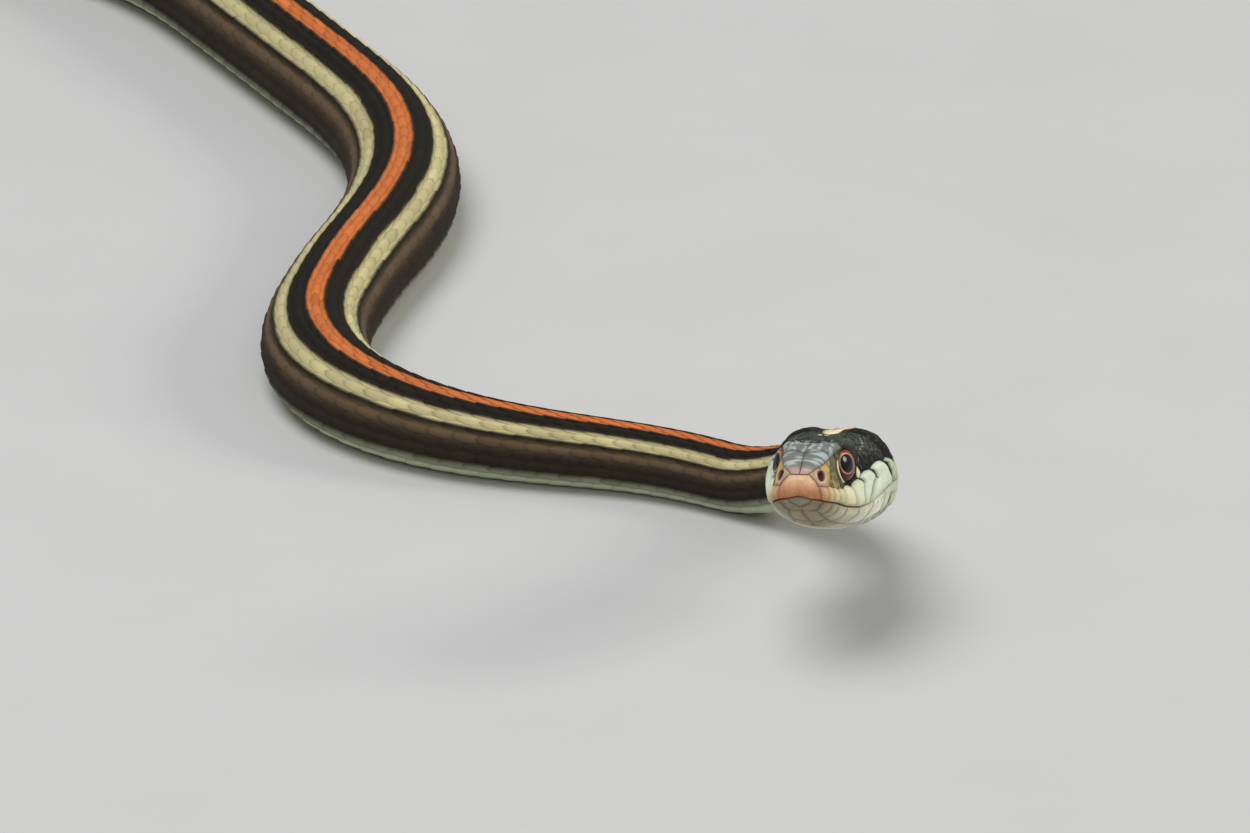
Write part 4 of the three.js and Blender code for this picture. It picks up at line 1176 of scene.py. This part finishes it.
def build_eye(hand, material):
    """A smooth eyeball in the place of its solid, with the pupil and iris drawn on its dome."""
    outward, backward, upward = eye_axes(hand)
    rings, columns = EYE_RINGS, EYE_COLUMNS
    polar = np.linspace(EYE_POLE, math.pi - EYE_POLE, rings)[:, None]
    turn = np.linspace(0, 2 * math.pi, columns + 1)[None, :-1]
    radial = EYE["radius"] * np.sin(polar)
    back, up = radial * np.cos(turn), radial * np.sin(turn)
    out = np.broadcast_to(EYE["depth"] * np.cos(polar), up.shape)
    local = eye_centre(hand) + np.stack([out, back, up], -1) @ [outward, backward, upward]
    ahead, above = -back - PUPIL["ahead"], up - PUPIL["above"]
    reach = (np.hypot(ahead / PUPIL["long"], above / PUPIL["tall"]) - 1) * PUPIL["long"]
    colour = iris_colour(up, np.arctan2(above, ahead), reach)
    edge = np.hypot(back / OPENING_LONG, up / OPENING_TALL)
    colour = painted(colour, IRIS_EDGE, 0.6 * ramp(edge, 0.78, 0.1))
    colour = painted(colour, IRIS_EDGE, ramp(edge, 0.92, 0.06))
    colour = np.where((out > 0)[..., None], colour, IRIS_EDGE)
    ring = np.arange(columns)[None, :]
    faces = [grid_faces(rings, columns, True), ring, (rings - 1) * columns + ring[:, ::-1]]
    if hand > 0:
        faces = [group[:, ::-1] for group in faces]
    name = "eyeball_right" if hand > 0 else "eyeball_left"
    return make_piece(name, from_head_axes(local), faces, material, colour)


def plug(tree, node, inputs):
    """Sets inputs of a node, by name or number, to plain values or to outputs of other nodes."""
    for key, value in inputs.items():
        if isinstance(value, bpy.types.NodeSocket):
            tree.links.new(value, node.inputs[key])
        else:
            node.inputs[key].default_value = value


def new_node(tree, kind, inputs):
    node = tree.nodes.new("ShaderNode" + kind)
    plug(tree, node, inputs)
    return node.outputs


def new_material(name):
    material = bpy.data.materials.new(name)
    material.use_nodes = True
    tree = material.node_tree
    return material, tree, tree.nodes["Principled BSDF"]


def noise(tree, scale, detail):
    place = new_node(tree, "TexCoord", {})["Object"]
    return new_node(tree, "TexNoise", {
        "Vector": place, "Scale": scale, "Detail": detail, "Roughness": 0.55,
    })["Fac"]


def ranged(tree, value, low, high):
    return new_node(tree, "MapRange", {"Value": value, "To Min": low, "To Max": high})["Result"]


def mottled_marking(tree, shader, texture, spread):
    """Colours the shader with the markings, uneven by a texture, and returns the markings."""
    marking = tree.nodes.new("ShaderNodeVertexColor")
    marking.layer_name = "marking"
    mix = tree.nodes.new("ShaderNodeMix")
    mix.data_type = "RGBA"
    mix.blend_type = "MULTIPLY"
    tone = ranged(tree, texture, 1 - spread, 1 + spread)
    plug(tree, mix, {"Factor": 1.0, "A": marking.outputs["Color"], "B": tone})
    plug(tree, shader, {"Base Color": mix.outputs["Result"]})
    return marking.outputs["Color"]


def hide_material(name, rough, specular, coat, mottle, bump):
    """Horny skin: the markings, mottled, with a fine grain, and dullest where they are dark."""
    material, tree, shader = new_material(name)
    marking = mottled_marking(tree, shader, noise(tree, 900, 5), mottle)
    grain = noise(tree, 5200, 3)
    pale = new_node(tree, "RGBToBW", {"Color": marking})["Val"]
    uneven = tree.nodes.new("ShaderNodeMath")
    uneven.operation = "MULTIPLY_ADD"
    plug(tree, uneven, {0: grain, 1: 0.2, 2: ranged(tree, pale, rough + 0.3, rough - 0.1)})
    raised = new_node(tree, "Bump", {"Strength": bump, "Distance": 0.00004, "Height": grain})
    plug(tree, shader, {
        "Roughness": uneven.outputs["Value"], "Normal": raised["Normal"],
        "Specular IOR Level": specular, "Coat Weight": coat, "Coat Roughness": 0.22,
    })
    return material


def eye_material():
    material, tree, shader = new_material("eye_glass")
    mottled_marking(tree, shader, noise(tree, 6000, 4), 0.3)
    plug(tree, shader, {
        "Roughness": 0.35, "Specular IOR Level": 0.1, "Coat Weight": 0.8, "Coat IOR": 1.36,
        "Coat Roughness": 0.03,
    })
    return material


def floor_material():
    material, tree, shader = new_material("pale_floor")
    shades = tree.nodes.new("ShaderNodeValToRGB")
    shades.color_ramp.elements[0].color = (0.53, 0.52, 0.5, 1)
    shades.color_ramp.elements[1].color = (0.58, 0.57, 0.55, 1)
    plug(tree, shades, {"Fac": noise(tree, 40, 6)})
    plug(tree, shader, {"Base Color": shades.outputs["Color"], "Roughness": 0.75})
    return material


# The stage, in metres: half the floor's side, then each light's name, place, diameter, power and
# colour
FLOOR_HALF = 20.0
LIGHTS = [
    ("sky", (-0.3, -0.1, 1.2), 0.9, 11, (0.95, 0.98, 1.0)),
    ("side", (1.1, -0.05, 0.55), 0.4, 5, (1.0, 0.98, 0.94)),
    ("front", (0.2, -1.1, 0.7), 0.5, 2.5, (1.0, 0.97, 0.92)),
]
LIGHT_TARGET = Vector((0, 0, 0.01))
WORLD_COLOUR = (0.8, 0.84, 0.9, 1)
WORLD_STRENGTH = 0.36


def build_floor():
    mesh = bpy.data.meshes.new("floor")
    signs = [(-1, -1), (1, -1), (1, 1), (-1, 1)]
    mesh.from_pydata([(x * FLOOR_HALF, y * FLOOR_HALF, 0) for x, y in signs], [], [range(4)])
    mesh.materials.append(floor_material())
    floor = add_to_scene("floor", mesh)


def build_light():
    bpy.context.scene.view_settings.view_transform = "Standard"
    world = bpy.data.worlds.new("studio")
    world.use_nodes = True
    background = world.node_tree.nodes["Background"]
    background.inputs["Color"].default_value = WORLD_COLOUR
    background.inputs["Strength"].default_value = WORLD_STRENGTH
    bpy.context.scene.world = world
    for name, place, size, power, colour in LIGHTS:
        light = bpy.data.lights.new(name, "AREA")
        light.shape = "DISK"
        light.size = size
        light.energy = power
        light.color = colour
        lamp = add_to_scene(name, light)
        lamp.location = place
        lamp.rotation_mode = "QUATERNION"
        lamp.rotation_quaternion = (LIGHT_TARGET - Vector(place)).to_track_quat("-Z", "Y")


# The photo's camera sees the front of the mouth at its pixel, at this many millimetres to a pixel
MOUTH_PIXEL = (798.3, 496.8)
MM_PER_PIXEL = 0.09
CAMERA_DISTANCE = 1800.0
CAMERA_ELEVATION = math.radians(22)
SENSOR_WIDTH = 36


def build_camera():
    data = bpy.data.cameras.new("camera")
    camera = add_to_scene("camera", data)
    sine, cosine = math.sin(CAMERA_ELEVATION), math.cos(CAMERA_ELEVATION)
    right, up, view = np.array([[1.0, 0, 0], [0, sine, cosine], [0, cosine, -sine]])
    across = (MOUTH_PIXEL[0] - PHOTO_WIDTH / 2) * MM_PER_PIXEL
    down = (MOUTH_PIXEL[1] - PHOTO_HEIGHT / 2) * MM_PER_PIXEL
    mouth = np.array([0, 0, MOUTH_HEIGHT]) + SHIFT
    place = mouth - view * CAMERA_DISTANCE - right * across + up * down
    camera.location = place * MM
    axes = Matrix([right, up, -view]).transposed()
    camera.rotation_mode = "QUATERNION"
    camera.rotation_quaternion = axes.to_quaternion()
    data.sensor_width = SENSOR_WIDTH
    data.lens = data.sensor_width * CAMERA_DISTANCE / MM_PER_PIXEL / PHOTO_WIDTH
    data.clip_start, data.clip_end = 0.05, 60
    bpy.context.scene.camera = camera


def build_snake():
    hide = hide_material(
        "head_and_skin", rough=0.4, specular=0.22, coat=0.0, mottle=0.14, bump=0.5)
    scale_hide = hide_material(
        "keeled_scales", rough=0.55, specular=0.25, coat=0.0, mottle=0.16, bump=0.5)
    plate_hide = hide_material(
        "smooth_plates", rough=0.45, specular=0.4, coat=0.05, mottle=0.08, bump=0.3)
    skin = build_skin(hide)
    flesh = [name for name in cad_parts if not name.startswith("eye_")]
    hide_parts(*flesh)
    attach(skin, "root")
    for piece in scale_stretches(scale_hide):
        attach(piece, "root")
    belly = belly_plates(plate_hide)
    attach(belly, "root")
    glass = eye_material()
    for node, hand in EYE_NODES.items():
        ball = build_eye(hand, glass)
        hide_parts(node)
        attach(ball, "root")


build_snake()
build_floor()
build_light()
build_camera()
